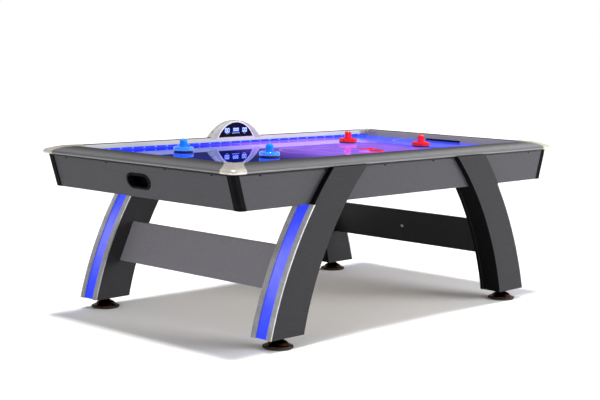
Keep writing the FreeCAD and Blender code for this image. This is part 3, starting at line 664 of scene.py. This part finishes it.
# each of these glows a little in its own colour: painted glow
AZURE = tinted_plastic("azure", (0.0, 0.19, 0.62), (0.0, 0.16, 0.8), 0.1, 0.25)
RED = tinted_plastic("red", (0.62, 0.006, 0.006), (0.9, 0.01, 0.01), 0.0, 0.14, coat=1.0)
PUCK_RED = tinted_plastic("puck red", (0.60, 0.008, 0.006), (0.9, 0.02, 0.01), 0.0, 0.22, coat=0.15)
POINT = glowing("lamp point", (0.1, 0.2, 0.6), (0.10, 0.30, 1.0), 1.3)
DIGIT = glowing("digit", (0.2, 0.22, 0.3), (0.75, 0.85, 1.0), 1.15)
DIM_MARK = glowing("dim mark", (0.4, 0.42, 0.45), (0.4, 0.42, 0.5), 0.45)

LOOKS = {
    "charcoal_laminate": CHARCOAL,
    "leg_laminate": LEG_CHARCOAL,
    "foot_rubber": RUBBER,
    "foot_bronze": BRONZE,
    "rail_graphite": GRAPHITE,
    "cap_silver": SILVER,
    "post_black": GLOSS_BLACK,
    "trim_aluminium": TRIM,
    "leg_light": LEG_LIGHT,
    "rail_light": RAIL_LIGHT,
    "field_gloss": FIELD,
    "raw_board": BOARD,
    "moulded_black": BLACK,
    "return_black": GLOSS_BLACK,
    "screw_black": GLOSS_BLACK,
    "cover_steel": STEEL,
    "scorer_silver": HOUSING,
    "bezel_silver": BRIGHT,
    "display_black": GLOSS_BLACK,
    "circuit_board": CIRCUIT,
    "button_black": BLACK,
    "grille_black": BLACK,
    "motor_steel": STEEL,
    "impeller_grey": BLACK,
    "mallet_blue": CLEAR_BLUE,
    "mallet_red": RED,
    "felt_dark": FELT,
    "puck_red": PUCK_RED,
}

# The looks go on the frame's own nodes by material slot; only the stretchers differ, with their painted
# light and shade.
for row in frame["record"]["subparts"]:
    node = NODES[row["node"]]
    node.data.materials.clear()
    look = STRETCHER_LIT_AND_SHADED if row["node"].startswith("end_stretcher") else LOOKS[row["material_slot"]]
    node.data.materials.append(look)


# ---- rails and castings -------------------------------------------------------------------
def circle_through(a, b, c):
    """Centre and radius of the circle through three points."""
    ax, ay, bx, by, cx, cy = a[0], a[1], b[0], b[1], c[0], c[1]
    d = 2 * (ax * (by - cy) + bx * (cy - ay) + cx * (ay - by))
    sa, sb, sc = ax * ax + ay * ay, bx * bx + by * by, cx * cx + cy * cy
    x = (sa * (by - cy) + sb * (cy - ay) + sc * (ay - by)) / d
    y = (sa * (cx - bx) + sb * (ax - cx) + sc * (bx - ax)) / d
    return Vector((x, y)), math.hypot(ax - x, ay - y)


TOP_CENTRE, TOP_RADIUS = circle_through((0, LIP), (RAIL_WIDTH / 2, CREST), (RAIL_WIDTH, RIDGE))
EDGE_CENTRE, EDGE_RADIUS = circle_through(*CAP_EDGE)


def rail_top(d):
    """Height of the rail's rounded top above the field, a distance d in from the outer edge."""
    return TOP_CENTRE.y + math.sqrt(TOP_RADIUS ** 2 - (d - TOP_CENTRE.x) ** 2)


def cap_edge(d):
    """How far along a rail its corner casting reaches, a distance d in from the outer edge."""
    bow = math.sqrt(max(EDGE_RADIUS ** 2 - (d - EDGE_CENTRE.y) ** 2, 0))
    return EDGE_CENTRE.x + math.copysign(bow, CAP_EDGE[1][0] - EDGE_CENTRE.x)


def rail_outline(light_wall, out=0.0, up=0.0):
    """Closed rail section as (distance in, height above the field), with softened edges.

    Below its inner edge the rail steps back to light_wall, which is RAIL_WIDTH for a plain face.
    """
    steps = 9    # the first of them is left to the lip's rounding
    depths = [RAIL_WIDTH * k / steps for k in range(2, steps)]
    top = [(d, rail_top(d) + up) for d in depths]
    points = [(-out, 0), (-out, LIP + up)] + top + [(RAIL_WIDTH, RIDGE + up)]
    points += [(RAIL_WIDTH, LEDGE), (light_wall, LEDGE), (light_wall, 0)]
    radii = [7 * MM, 13 * MM] + [0] * len(top) + [5 * MM, 0, 0, 0]
    return rounded(points, radii)


def side_point(x, p, side):
    """A point p of the rail's section, placed on a side rail at x."""
    return Vector((x, side * (HALF_Y - p[0]), FIELD_Z + p[1]))


def end_point(y, p, end):
    """A point p of the rail's section, placed on an end rail at y."""
    return Vector((end * (HALF_X - p[0]), y, FIELD_Z + p[1]))


def rail(name, half, point, sign, light_wall, node):
    """A straight rail between two castings, its ends shaped to meet them."""
    outline = rail_outline(light_wall)
    gap = 0.3 * MM
    reach = [half - cap_edge(p[0]) - gap for p in outline]
    rings = [-1.0, -0.985, -0.5, 0.0, 0.5, 0.985, 1.0]
    verts = [point(ring * reach[i], p, sign) for ring in rings for i, p in enumerate(outline)]
    obj = piece_from(name, verts, tube_faces(len(rings), len(outline)), GRAPHITE, 30)
    return place(obj, TABLE, "rail_graphite", node)


def goal_slot(end):
    """The space under an end rail that a puck slides through."""
    low = Vector((HALF_X - RAIL_WIDTH - 20 * MM, -GOAL_HALF_WIDTH, FIELD_Z - 10 * MM))
    high = Vector((GOAL_REACH, GOAL_HALF_WIDTH, FIELD_Z + GOAL_HEIGHT))
    if end < 0:
        low.x, high.x = -high.x, -low.x
    return block("cutter", low, high, BLACK)


for word, sign in (("front", -1), ("rear", 1)):
    rail("rail_side_" + word, HALF_X, side_point, sign, LIGHT_WALL, "side_rail_" + word)
for word, sign in (("left", -1), ("right", 1)):
    bar = rail("rail_end_" + word, HALF_Y, end_point, sign, RAIL_WIDTH, "end_rail_" + word)
    cut_away(bar, goal_slot(sign))


def round_corner(t, start, offset, radius):
    """A point on half of a casting's outline: from start on a side rail (t=0) to its middle (t=1).

    The outline lies offset in from the rail's outer edge and is rounded to a radius. Points are
    distances in from the corner, along the side rail and along the end rail.
    """
    centre = offset + radius
    straight = start - centre
    run = t * (straight + radius * math.pi / 4)
    if run <= straight:
        return Vector((start - run, offset))
    angle = (run - straight) / radius
    return Vector((centre - radius * math.sin(angle), centre - radius * math.cos(angle)))


def casting_plan(t, d):
    """The plan of half a casting, t as for round_corner and d in from the rail's outer edge."""
    start = CAP_EDGE[0][0]
    end = CAP_EDGE[2][0]
    share = (d + CAP_PROUD) / (RAIL_WIDTH + CAP_PROUD)
    outer = round_corner(t, start, -CAP_PROUD, CAP_RADIUS)
    inner = round_corner(t, end, RAIL_WIDTH, CAP_INNER_RADIUS)
    waist = (cap_edge(max(d, 0)) - (start + (end - start) * share)) * (1 - t) ** 2
    return outer.lerp(inner, share) + Vector((waist, 0))


def corner_casting(end, side):
    """A casting lofted round the corner: the rail's section on a fan of lines in plan."""
    steps = 14
    rings = 2 * steps + 1
    verts = []
    for ring in range(rings):
        t = ring / steps
        recess = (RAIL_WIDTH - LIGHT_WALL) * min(max((1 - t) / 0.2, 0), 1)
        for d, rise in rail_outline(RAIL_WIDTH - recess, CAP_PROUD, CAP_RAISE):
            p = casting_plan(min(t, 2 - t), d)
            if t > 1:
                p = p.yx
            verts.append(Vector((end * (HALF_X - p.x), side * (HALF_Y - p.y), FIELD_Z + rise)))
    return piece_from("cap", verts, tube_faces(rings, len(verts) // rings), SILVER, 50)


# painted shadow: black bars under the rails' lips stand for the shade of their overhang
SHADOW_BAR_HEIGHT = 10 * MM
SHADOW_BAR_INSET = 20 * MM    # how far short of the corners the painted shadow bars end


def painted_shadow_bar(along, half, inner, outer, sign):
    """A black bar under the rails, a painted shadow of their lip: half each way along one axis, inner to
    outer on the other.
    """
    spans = {along: (-half, half), 1 - along: sorted((sign * inner, sign * outer))}
    low = (spans[0][0], spans[1][0], FIELD_Z - SHADOW_BAR_HEIGHT)
    high = (spans[0][1], spans[1][1], FIELD_Z - 0.5 * MM)
    return block("painted_shadow_bar", low, high, BLACK, 1.2 * MM)


painted_shadow_bars = []
for sign in (-1, 1):
    painted_shadow_bars.append(painted_shadow_bar(0, END_FACE - SHADOW_BAR_INSET, SIDE_FACE - 2 * MM, SIDE_FACE + 2.5 * MM, sign))
    painted_shadow_bars.append(painted_shadow_bar(1, SIDE_FACE - SHADOW_BAR_INSET, END_FACE - 3 * MM, END_FACE + 2 * MM, sign))
place(join("rail_shadow_bars", painted_shadow_bars), TABLE, "post_black")

castings = join("castings", [corner_casting(end, side) for end in (-1, 1) for side in (-1, 1)])
place(castings, TABLE, "cap_silver", "corner_caps")

# ---- light points under the rails -----------------------------------------------------------
SIDE_LAMPS = 28
LAMP_HALF = Vector((3 * MM, 3 * MM, 1.8 * MM))
strips_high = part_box("rail_light_strips")[1]


def lamp_row(name, side):
    """A row of small rounded lamps in a side rail's recess."""
    y = side * (strips_high.y - 6 * MM)
    lamps = []
    for i in range(SIDE_LAMPS):
        middle = Vector(((i - (SIDE_LAMPS - 1) / 2) * LAMP_PITCH, y, strips_high.z - 3 * MM))
        lamps.append(block("lamp", middle - LAMP_HALF, middle + LAMP_HALF, POINT, 1 * MM))
    place(join(name, lamps), TABLE, "rail_light")


for word, sign in (("front", -1), ("rear", 1)):
    lamp_row("lamps_side_" + word, sign)

# ---- feet -----------------------------------------------------------------------------------
def foot(tag):
    """Rubber sole, bronze dome, threaded stem and hexagon nut, which ride together."""
    body = "foot_" + tag
    low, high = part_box("foot_pad_" + tag)
    centre = Vector(((low.x + high.x) / 2, (low.y + high.y) / 2, 0.0))
    r = (high.x - low.x) / 2
    top = 11.5 * MM
    sole = rounded_profile(
        [(0, 0), (r - 5 * MM, 0), (r, 4 * MM), (r, top), (r - 8 * MM, top), (0, top)],
        [2 * MM, 2 * MM, 2.5 * MM, 0])
    place(lathe("sole_" + tag, sole, centre, RUBBER), body, "foot_rubber", "foot_pad_" + tag)
    dome = rounded_profile(
        [(0, 30 * MM), (54 * MM, 10 * MM), (59 * MM, 10 * MM), (59.5 * MM, 14 * MM), (50 * MM, 17.5 * MM),
         (40 * MM, 27.5 * MM), (23 * MM, 37 * MM), (18.5 * MM, 41 * MM), (0, 41 * MM)],
        [1 * MM, 0.5 * MM, 1 * MM, 6 * MM, 12 * MM, 8 * MM, 1.5 * MM], 6)
    place(lathe("dome_" + tag, dome, centre, BRONZE), body, "foot_bronze", "foot_leveller_" + tag)
    place(lathe("stem_" + tag, stem_profile(), centre, CHROME, 32, 25), body, "foot_bronze")
    place(hexagon_nut("nut_" + tag, centre), body, "foot_bronze")


def stem_profile():
    """A threaded rod from inside the dome to inside the leg."""
    bottom = 40 * MM
    pitch = 3 * MM
    crest = 8.0 * MM
    root = 7.2 * MM
    turns = 18
    profile = [(0, bottom)]
    for turn in range(turns + 1):
        z = bottom + turn * pitch
        profile += [(crest, z), (root, z + pitch / 2)]
    return profile + [(0, profile[-1][1])]


def hexagon_nut(name, centre):
    radius = 12 * MM
    verts = []
    for z in (41 * MM, 48.5 * MM):
        for k in range(6):
            angle = math.radians(60 * k + 15)
            verts.append(centre + Vector((radius * math.cos(angle), radius * math.sin(angle), z)))
    nut = piece_from(name, verts, tube_faces(2, 6), CHROME)
    add_bevel(nut, 0.8 * MM)
    return nut


for side_word in ("front", "rear"):
    for end_word in ("left", "right"):
        foot(side_word + "_" + end_word)


# ---- mallets and pucks ----------------------------------------------------------------------
def mallet(tag, base_look, knob_look, slot):
    """Felt pad, base with a finger well round its middle, and a knob with a rounded top."""
    body = "mallet_" + tag
    low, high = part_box("mallet_" + tag)
    centre = ((low.x + high.x) / 2, (low.y + high.y) / 2, low.z)
    r = (high.x - low.x) / 2
    knob = 18.5 * MM
    skirt = 2.5 * MM
    rim = 20 * MM
    seat = 10 * MM
    pad = [(0, 0), (r - 1.5 * MM, 0), (r - 1 * MM, skirt), (0, skirt)]
    place(lathe("pad_" + tag, pad, centre, FELT, 96), body, slot)
    base = rounded_profile(
        [(0, skirt), (r - 1 * MM, skirt), (r, 7 * MM), (r - 1 * MM, rim), (r - 8 * MM, rim),
         (r - 12 * MM, 8 * MM), (knob + 4 * MM, 7 * MM), (knob + 1 * MM, seat), (0, seat)],
        [1.5 * MM, 3 * MM, 3.4 * MM, 3.2 * MM, 3 * MM, 2 * MM, 1 * MM], 6)
    place(lathe("base_" + tag, base, centre, base_look, 96), body, slot, body)
    foot_z = seat + 0.2 * MM
    outline = [(0, foot_z), (knob - 0.5 * MM, foot_z)]
    shoulder = high.z - low.z - knob
    squareness = 2 / 2.5
    steps = 16
    for k in range(steps + 1):
        angle = math.pi / 2 * k / steps
        out = max(math.cos(angle), 0) ** squareness
        outline.append((knob * out, shoulder + knob * math.sin(angle) ** squareness))
    place(lathe("knob_" + tag, outline, centre, knob_look, 64, 60), body, slot)


for tag in ("blue_1", "blue_2"):
    mallet(tag, CLEAR_BLUE, AZURE, "mallet_blue")
for tag in ("red_1", "red_2"):
    mallet(tag, RED, RED, "mallet_red")

PUCK_RADIUS = 38 * MM
PUCK_THICKNESS = 6.5 * MM


def puck(name, centre):
    """A disc with rounded edges and a ring groove in both faces."""
    r = PUCK_RADIUS
    t = PUCK_THICKNESS
    groove = 0.8 * MM
    edge = 1.5 * MM
    fine = 0.3 * MM
    profile = rounded_profile(
        [(0, 0), (r - 9 * MM, 0), (r - 8 * MM, groove), (r - 7 * MM, 0), (r, 0),
         (r, t), (r - 7 * MM, t), (r - 8 * MM, t - groove), (r - 9 * MM, t), (0, t)],
        [fine, fine, fine, edge, edge, fine, fine, fine])
    return lathe(name, profile, centre, PUCK_RED, 96)


flat_low, flat_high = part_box("puck_flat")
flat_centre = ((flat_low.x + flat_high.x) / 2, (flat_low.y + flat_high.y) / 2, flat_low.z)
place(puck("puck_on_field", flat_centre), "puck_flat", "puck_red", "puck_flat")

# The leaning puck stands on its far edge and lies on the flat one's rim, one thickness up.
lean_low, lean_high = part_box("puck_leaning")
tilt = math.asin(PUCK_THICKNESS / (lean_high.y - PUCK_RADIUS - flat_centre[1]))
leaner = puck("puck_on_puck", (0, -PUCK_RADIUS, 0))
hinge = Vector(((lean_low.x + lean_high.x) / 2, lean_high.y, lean_low.z))
leaner.data.transform(Matrix.Translation(hinge) @ Matrix.Rotation(-tilt, 4, "X"))
place(leaner, "puck_leaning", "puck_red", "puck_leaning")

# ---- scorer ---------------------------------------------------------------------------------
shell_low, shell_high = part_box("scorer_housing")
lens_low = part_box("scorer_lens")[0]
FACE_Y = shell_low.y
BACK_Y = shell_high.y
SHELL_RADIUS = 225 * MM
SHELL_CENTRE = shell_high.z - SHELL_RADIUS
SHELL_SOFT = 5 * MM         # radius of the shell's front edge
SHELL_ROUND = 9 * MM        # radius of its back edge
SHELL_SCREWS = (41.5, 51.5)    # degrees down from the top, on both sides
WINDOW_RADIUS = 136 * MM
WINDOW_CENTRE = 725.5 * MM
RING_WIDTH = 9 * MM
ARCH_FOOT = 780 * MM        # height of the arches' feet, under the shell's edge
DISPLAY_Y = lens_low.y + 1.5 * MM
DIGIT_Z = 822 * MM
SCORE_X = 62 * MM
DIGIT_BLOCKS = ((-SCORE_X, 15 * MM), (0.0, 18 * MM), (SCORE_X, 15 * MM))    # middle, half width


def arch_point(radius, centre_z, t, y):
    """A point on an arch, t from -1 at its left foot to 1 at its right foot."""
    angle = math.acos((ARCH_FOOT - centre_z) / radius) * t
    return Vector((radius * math.sin(angle), y, centre_z + radius * math.cos(angle)))


def arch_surface(name, rows, material, smooth):
    """A skin over rows of (radius, centre z, y), closed from the last row back to the first."""
    steps = 64
    verts = [arch_point(r, c, 2 * k / steps - 1, y) for k in range(steps + 1) for r, c, y in rows]
    return piece_from(name, verts, tube_faces(steps + 1, len(rows)), material, smooth)


def arch_plate(name, radius, centre_z, front, back, material):
    """A flat plate with an arch's outline."""
    steps = 48
    outline = [arch_point(radius, centre_z, 2 * k / steps - 1, front) for k in range(steps + 1)]
    verts = outline + [Vector((v.x, back, v.z)) for v in outline]
    return piece_from(name, verts, tube_faces(2, len(outline)), material)


def shell_rows():
    """The shell's section: rounded back, softened front, then the step down behind the ring."""
    steps = 4
    corner = [math.pi / 2 * k / steps for k in range(steps + 1)]
    rows = []
    for a in corner:
        rows.append((SHELL_RADIUS - SHELL_ROUND * (1 - math.sin(a)), SHELL_CENTRE,
                     BACK_Y - SHELL_ROUND * (1 - math.cos(a))))
    for a in corner:
        rows.append((SHELL_RADIUS - SHELL_SOFT * (1 - math.cos(a)), SHELL_CENTRE,
                     FACE_Y + SHELL_SOFT * (1 - math.sin(a))))
    ring = WINDOW_RADIUS + RING_WIDTH
    rows.append((ring + 1 * MM, WINDOW_CENTRE, FACE_Y + 0.5 * MM))
    rows.append((ring, WINDOW_CENTRE, FACE_Y + 4 * MM))
    rows.append((ring - 3 * MM, WINDOW_CENTRE, FACE_Y + 8 * MM))
    rows.append((ring - 3 * MM, WINDOW_CENTRE, BACK_Y - 4 * MM))
    return rows


def ring_rows():
    """The bright ring's section: a half round on a flat back."""
    steps = 8
    half = RING_WIDTH / 2
    rows = []
    for k in range(steps + 1):
        a = math.pi * k / steps
        rows.append((WINDOW_RADIUS + half + half * math.cos(a), WINDOW_CENTRE,
                     FACE_Y + 3 * MM - 3 * MM * math.sin(a)))
    rows.append((WINDOW_RADIUS, WINDOW_CENTRE, FACE_Y + 6 * MM))
    rows.append((WINDOW_RADIUS + RING_WIDTH, WINDOW_CENTRE, FACE_Y + 6 * MM))
    return rows


shell = arch_surface("scorer_shell", shell_rows(), HOUSING, 35)
place(shell, TABLE, "scorer_silver", "scorer_housing")
panel = arch_plate("scorer_back", SHELL_RADIUS - 8.5 * MM, SHELL_CENTRE, BACK_Y - 3 * MM, BACK_Y, HOUSING)
place(panel, TABLE, "scorer_silver")
ring = arch_surface("scorer_ring", ring_rows(), BRIGHT, 60)
place(ring, TABLE, "bezel_silver", "scorer_bezel")


def shell_screw(angle):
    """A screw head on top of the shell, an angle round from its highest line."""
    profile = [(0, 0), (3.5 * MM, 0), (3 * MM, 1 * MM), (0, 1 * MM)]
    head = lathe("screw", profile, (0, 0, 0), GLOSS_BLACK, 16)
    axis = Matrix.Translation((0, (FACE_Y + BACK_Y) / 2, SHELL_CENTRE))
    out = Matrix.Translation((0, 0, SHELL_RADIUS))
    head.data.transform(axis @ Matrix.Rotation(angle, 4, "Y") @ out)
    return head


heads = [shell_screw(side * math.radians(degrees)) for degrees in SHELL_SCREWS for side in (-1, 1)]
place(join("shell_screws", heads), TABLE, "screw_black")


def display_look():
    """Smoked window, faintly blue, with a painted glow of the digits' light round the three digit blocks.
    """
    s = Shader("display window")
    x, _, z = s.axes()
    past_z = s.math("SUBTRACT", s.absolute(s.math("SUBTRACT", z, DIGIT_Z)), 8 * MM)
    # painted glow: a blue halo of the digits' light on the window
    painted_halo = 0.0
    for middle, half in DIGIT_BLOCKS:
        past_x = s.math("SUBTRACT", s.absolute(s.math("SUBTRACT", x, middle)), half)
        painted_halo = s.math("MAXIMUM", painted_halo, s.span(s.math("MAXIMUM", past_x, past_z), 7 * MM, 1 * MM))
    colour = s.ramp(painted_halo, (0.0, (0.0, 0.0, 0.0)), (0.55, (0.01, 0.06, 0.6)), (1.0, (0.03, 0.16, 1.0)))
    s.set(Base_Color=s.ramp(s.noise(30), (0.3, (0.002, 0.0025, 0.009)), (0.7, (0.003, 0.004, 0.014))))
    s.set(Roughness=0.2, Specular_IOR_Level=0.12, Emission_Color=colour, Emission_Strength=0.9)
    return s.material


window = arch_plate("display_window", WINDOW_RADIUS + 1 * MM, WINDOW_CENTRE, DISPLAY_Y,
                    DISPLAY_Y + 2.5 * MM, display_look())
place(window, TABLE, "display_black", "scorer_lens")


def segment(middle, length, thick, upright):
    """One bar of a digit, pointed at both ends, on the window."""
    half = length / 2
    w = thick / 2
    outline = [(-half, 0), (-half + w, w), (half - w, w), (half, 0), (half - w, -w), (-half + w, -w)]
    verts = []
    for y in (DISPLAY_Y - 0.5 * MM, DISPLAY_Y + 0.3 * MM):
        for a, b in outline:
            dx, dz = (b, a) if upright else (a, b)
            verts.append(Vector((middle[0] + dx, y, middle[1] + dz)))
    return piece_from("segment", verts, tube_faces(2, 6), DIGIT)


def nought(x, z, width, height, thick):
    """The six bars of a 0, clockwise from the top."""
    gap = 0.6 * MM
    w = width / 2
    h = height / 4
    bars = [((x, z + 2 * h), False), ((x + w, z + h), True), ((x + w, z - h), True),
            ((x, z - 2 * h), False), ((x - w, z - h), True), ((x - w, z + h), True)]
    lengths = {False: width - gap, True: 2 * h - gap}
    return [segment(middle, lengths[upright], thick, upright) for middle, upright in bars]


digits = []
for middle in (-SCORE_X, SCORE_X):
    for offset in (-8 * MM, 8 * MM):
        digits += nought(middle + offset, DIGIT_Z, 10 * MM, 19 * MM, 3.1 * MM)
for offset in (-13 * MM, 0.0, 13 * MM):
    digits += nought(offset, DIGIT_Z + 3 * MM, 8 * MM, 13 * MM, 2.6 * MM)
place(join("digits", digits), TABLE, "display_black")


def mark(x, half, bottom, top):
    """A faint bar under the digits."""
    low = (x - half, DISPLAY_Y - 0.4 * MM, bottom)
    high = (x + half, DISPLAY_Y + 0.3 * MM, top)
    return block("mark", low, high, DIM_MARK, 0.3 * MM)


marks = [mark((i - 4) * 6 * MM, 1.6 * MM, 805 * MM, 809 * MM) for i in range(9)]
marks += [mark(middle, 8 * MM, 804 * MM, 806 * MM) for middle in (-SCORE_X, SCORE_X)]
place(join("display_marks", marks), TABLE, "display_black")

# ---- floor, lights, camera ----------------------------------------------------------------
FLOOR_HALF = 40.0


def studio_floor():
    """A wide pale sheet."""
    s = Shader("studio floor")
    paper = s.ramp(s.noise(1.5), (0.3, (0.90, 0.90, 0.90)), (0.7, (0.92, 0.92, 0.92)))
    s.set(Base_Color=paper, Roughness=0.9, Specular_IOR_Level=0.0)
    corners = ((-1, -1), (1, -1), (1, 1), (-1, 1))
    verts = [(x * FLOOR_HALF, y * FLOOR_HALF, 0) for x, y in corners]
    return piece_from("studio_floor", verts, [(0, 1, 2, 3)], s.material)


def studio_world():
    """White to the camera; to all else a dim room that is brighter higher up."""
    world = bpy.data.worlds.new("studio")
    world.use_nodes = True
    tree = world.node_tree
    backdrop = tree.nodes["Background"]
    backdrop.inputs["Color"].default_value = (1, 1, 1, 1)
    backdrop.inputs["Strength"].default_value = 1.0
    room = tree.nodes.new("ShaderNodeBackground")
    room.inputs["Color"].default_value = (0.97, 0.98, 1.0, 1)
    split = tree.nodes.new("ShaderNodeSeparateXYZ")
    height = tree.nodes.new("ShaderNodeMapRange")
    for key, number in (("From Min", 0.15), ("From Max", 0.6), ("To Min", 0.05), ("To Max", 0.35)):
        height.inputs[key].default_value = number
    tree.links.new(tree.nodes.new("ShaderNodeTexCoord").outputs["Generated"], split.inputs[0])
    tree.links.new(split.outputs["Z"], height.inputs["Value"])
    tree.links.new(height.outputs["Result"], room.inputs["Strength"])
    rays = tree.nodes.new("ShaderNodeLightPath")
    choice = tree.nodes.new("ShaderNodeMixShader")
    tree.links.new(rays.outputs["Is Camera Ray"], choice.inputs[0])
    tree.links.new(room.outputs[0], choice.inputs[1])
    tree.links.new(backdrop.outputs[0], choice.inputs[2])
    tree.links.new(choice.outputs[0], tree.nodes["World Output"].inputs["Surface"])
    return world


def softbox(name, location, target, size, power):
    """A rectangular lamp aimed at a point; the camera itself doesn't see it."""
    data = bpy.data.lights.new(name, "AREA")
    data.shape = "RECTANGLE"
    data.size, data.size_y = size
    data.energy = power
    lamp = bpy.data.objects.new(name, data)
    bpy.context.scene.collection.objects.link(lamp)
    lamp.location = location
    lamp.rotation_euler = (Vector(target) - Vector(location)).to_track_quat("-Z", "Y").to_euler()
    lamp.visible_camera = False
    return lamp


def sun(name, power, spread):
    """Light from straight above."""
    data = bpy.data.lights.new(name, "SUN")
    data.energy = power
    data.angle = math.radians(spread)
    bpy.context.scene.collection.objects.link(bpy.data.objects.new(name, data))


def photo_camera():
    """The camera that sees the table as the photo does, fitted to the table's straight edges."""
    turn = math.radians(-46.95)
    down = math.radians(6.86)
    roll = math.radians(1.11)
    ahead = Vector((-math.sin(turn) * math.cos(down), math.cos(turn) * math.cos(down), -math.sin(down)))
    level = Vector((math.cos(turn), math.sin(turn), 0))
    upright = level.cross(ahead)
    right = level * math.cos(roll) + upright * math.sin(roll)
    top = upright * math.cos(roll) - level * math.sin(roll)
    data = bpy.data.cameras.new("camera")
    data.sensor_width = 36
    data.lens = 79.81
    data.clip_end = 200
    camera = bpy.data.objects.new("camera", data)
    bpy.context.scene.collection.objects.link(camera)
    aim = Matrix((right, top, -ahead)).transposed().to_4x4()
    camera.matrix_world = Matrix.Translation((-4.77214, -4.38171, 1.28891)) @ aim
    return camera


bpy.context.scene.view_settings.view_transform = "Standard"
floor = studio_floor()
bpy.context.scene.world = studio_world()
# two lamps that light the surfaces, and two that are only mirrored in them
softbox("key", (3.0, -5.8, 1.5), (0.2, 0, 0.65), (4.5, 2.2), 640).visible_glossy = False
softbox("fill", (-6.0, -2.0, 1.2), (-0.5, 0, 0.6), (3.0, 1.6), 160).visible_glossy = False
softbox("side", (7.5, -1.0, 4.8), (0.3, 0, 0.75), (10.0, 6.0), 150).visible_diffuse = False
softbox("rear", (-1.5, 7.5, 5.2), (0.0, 0, 0.75), (8.0, 5.0), 40).visible_diffuse = False
sun("overhead", 3.6, 9)
bpy.context.scene.camera = photo_camera()
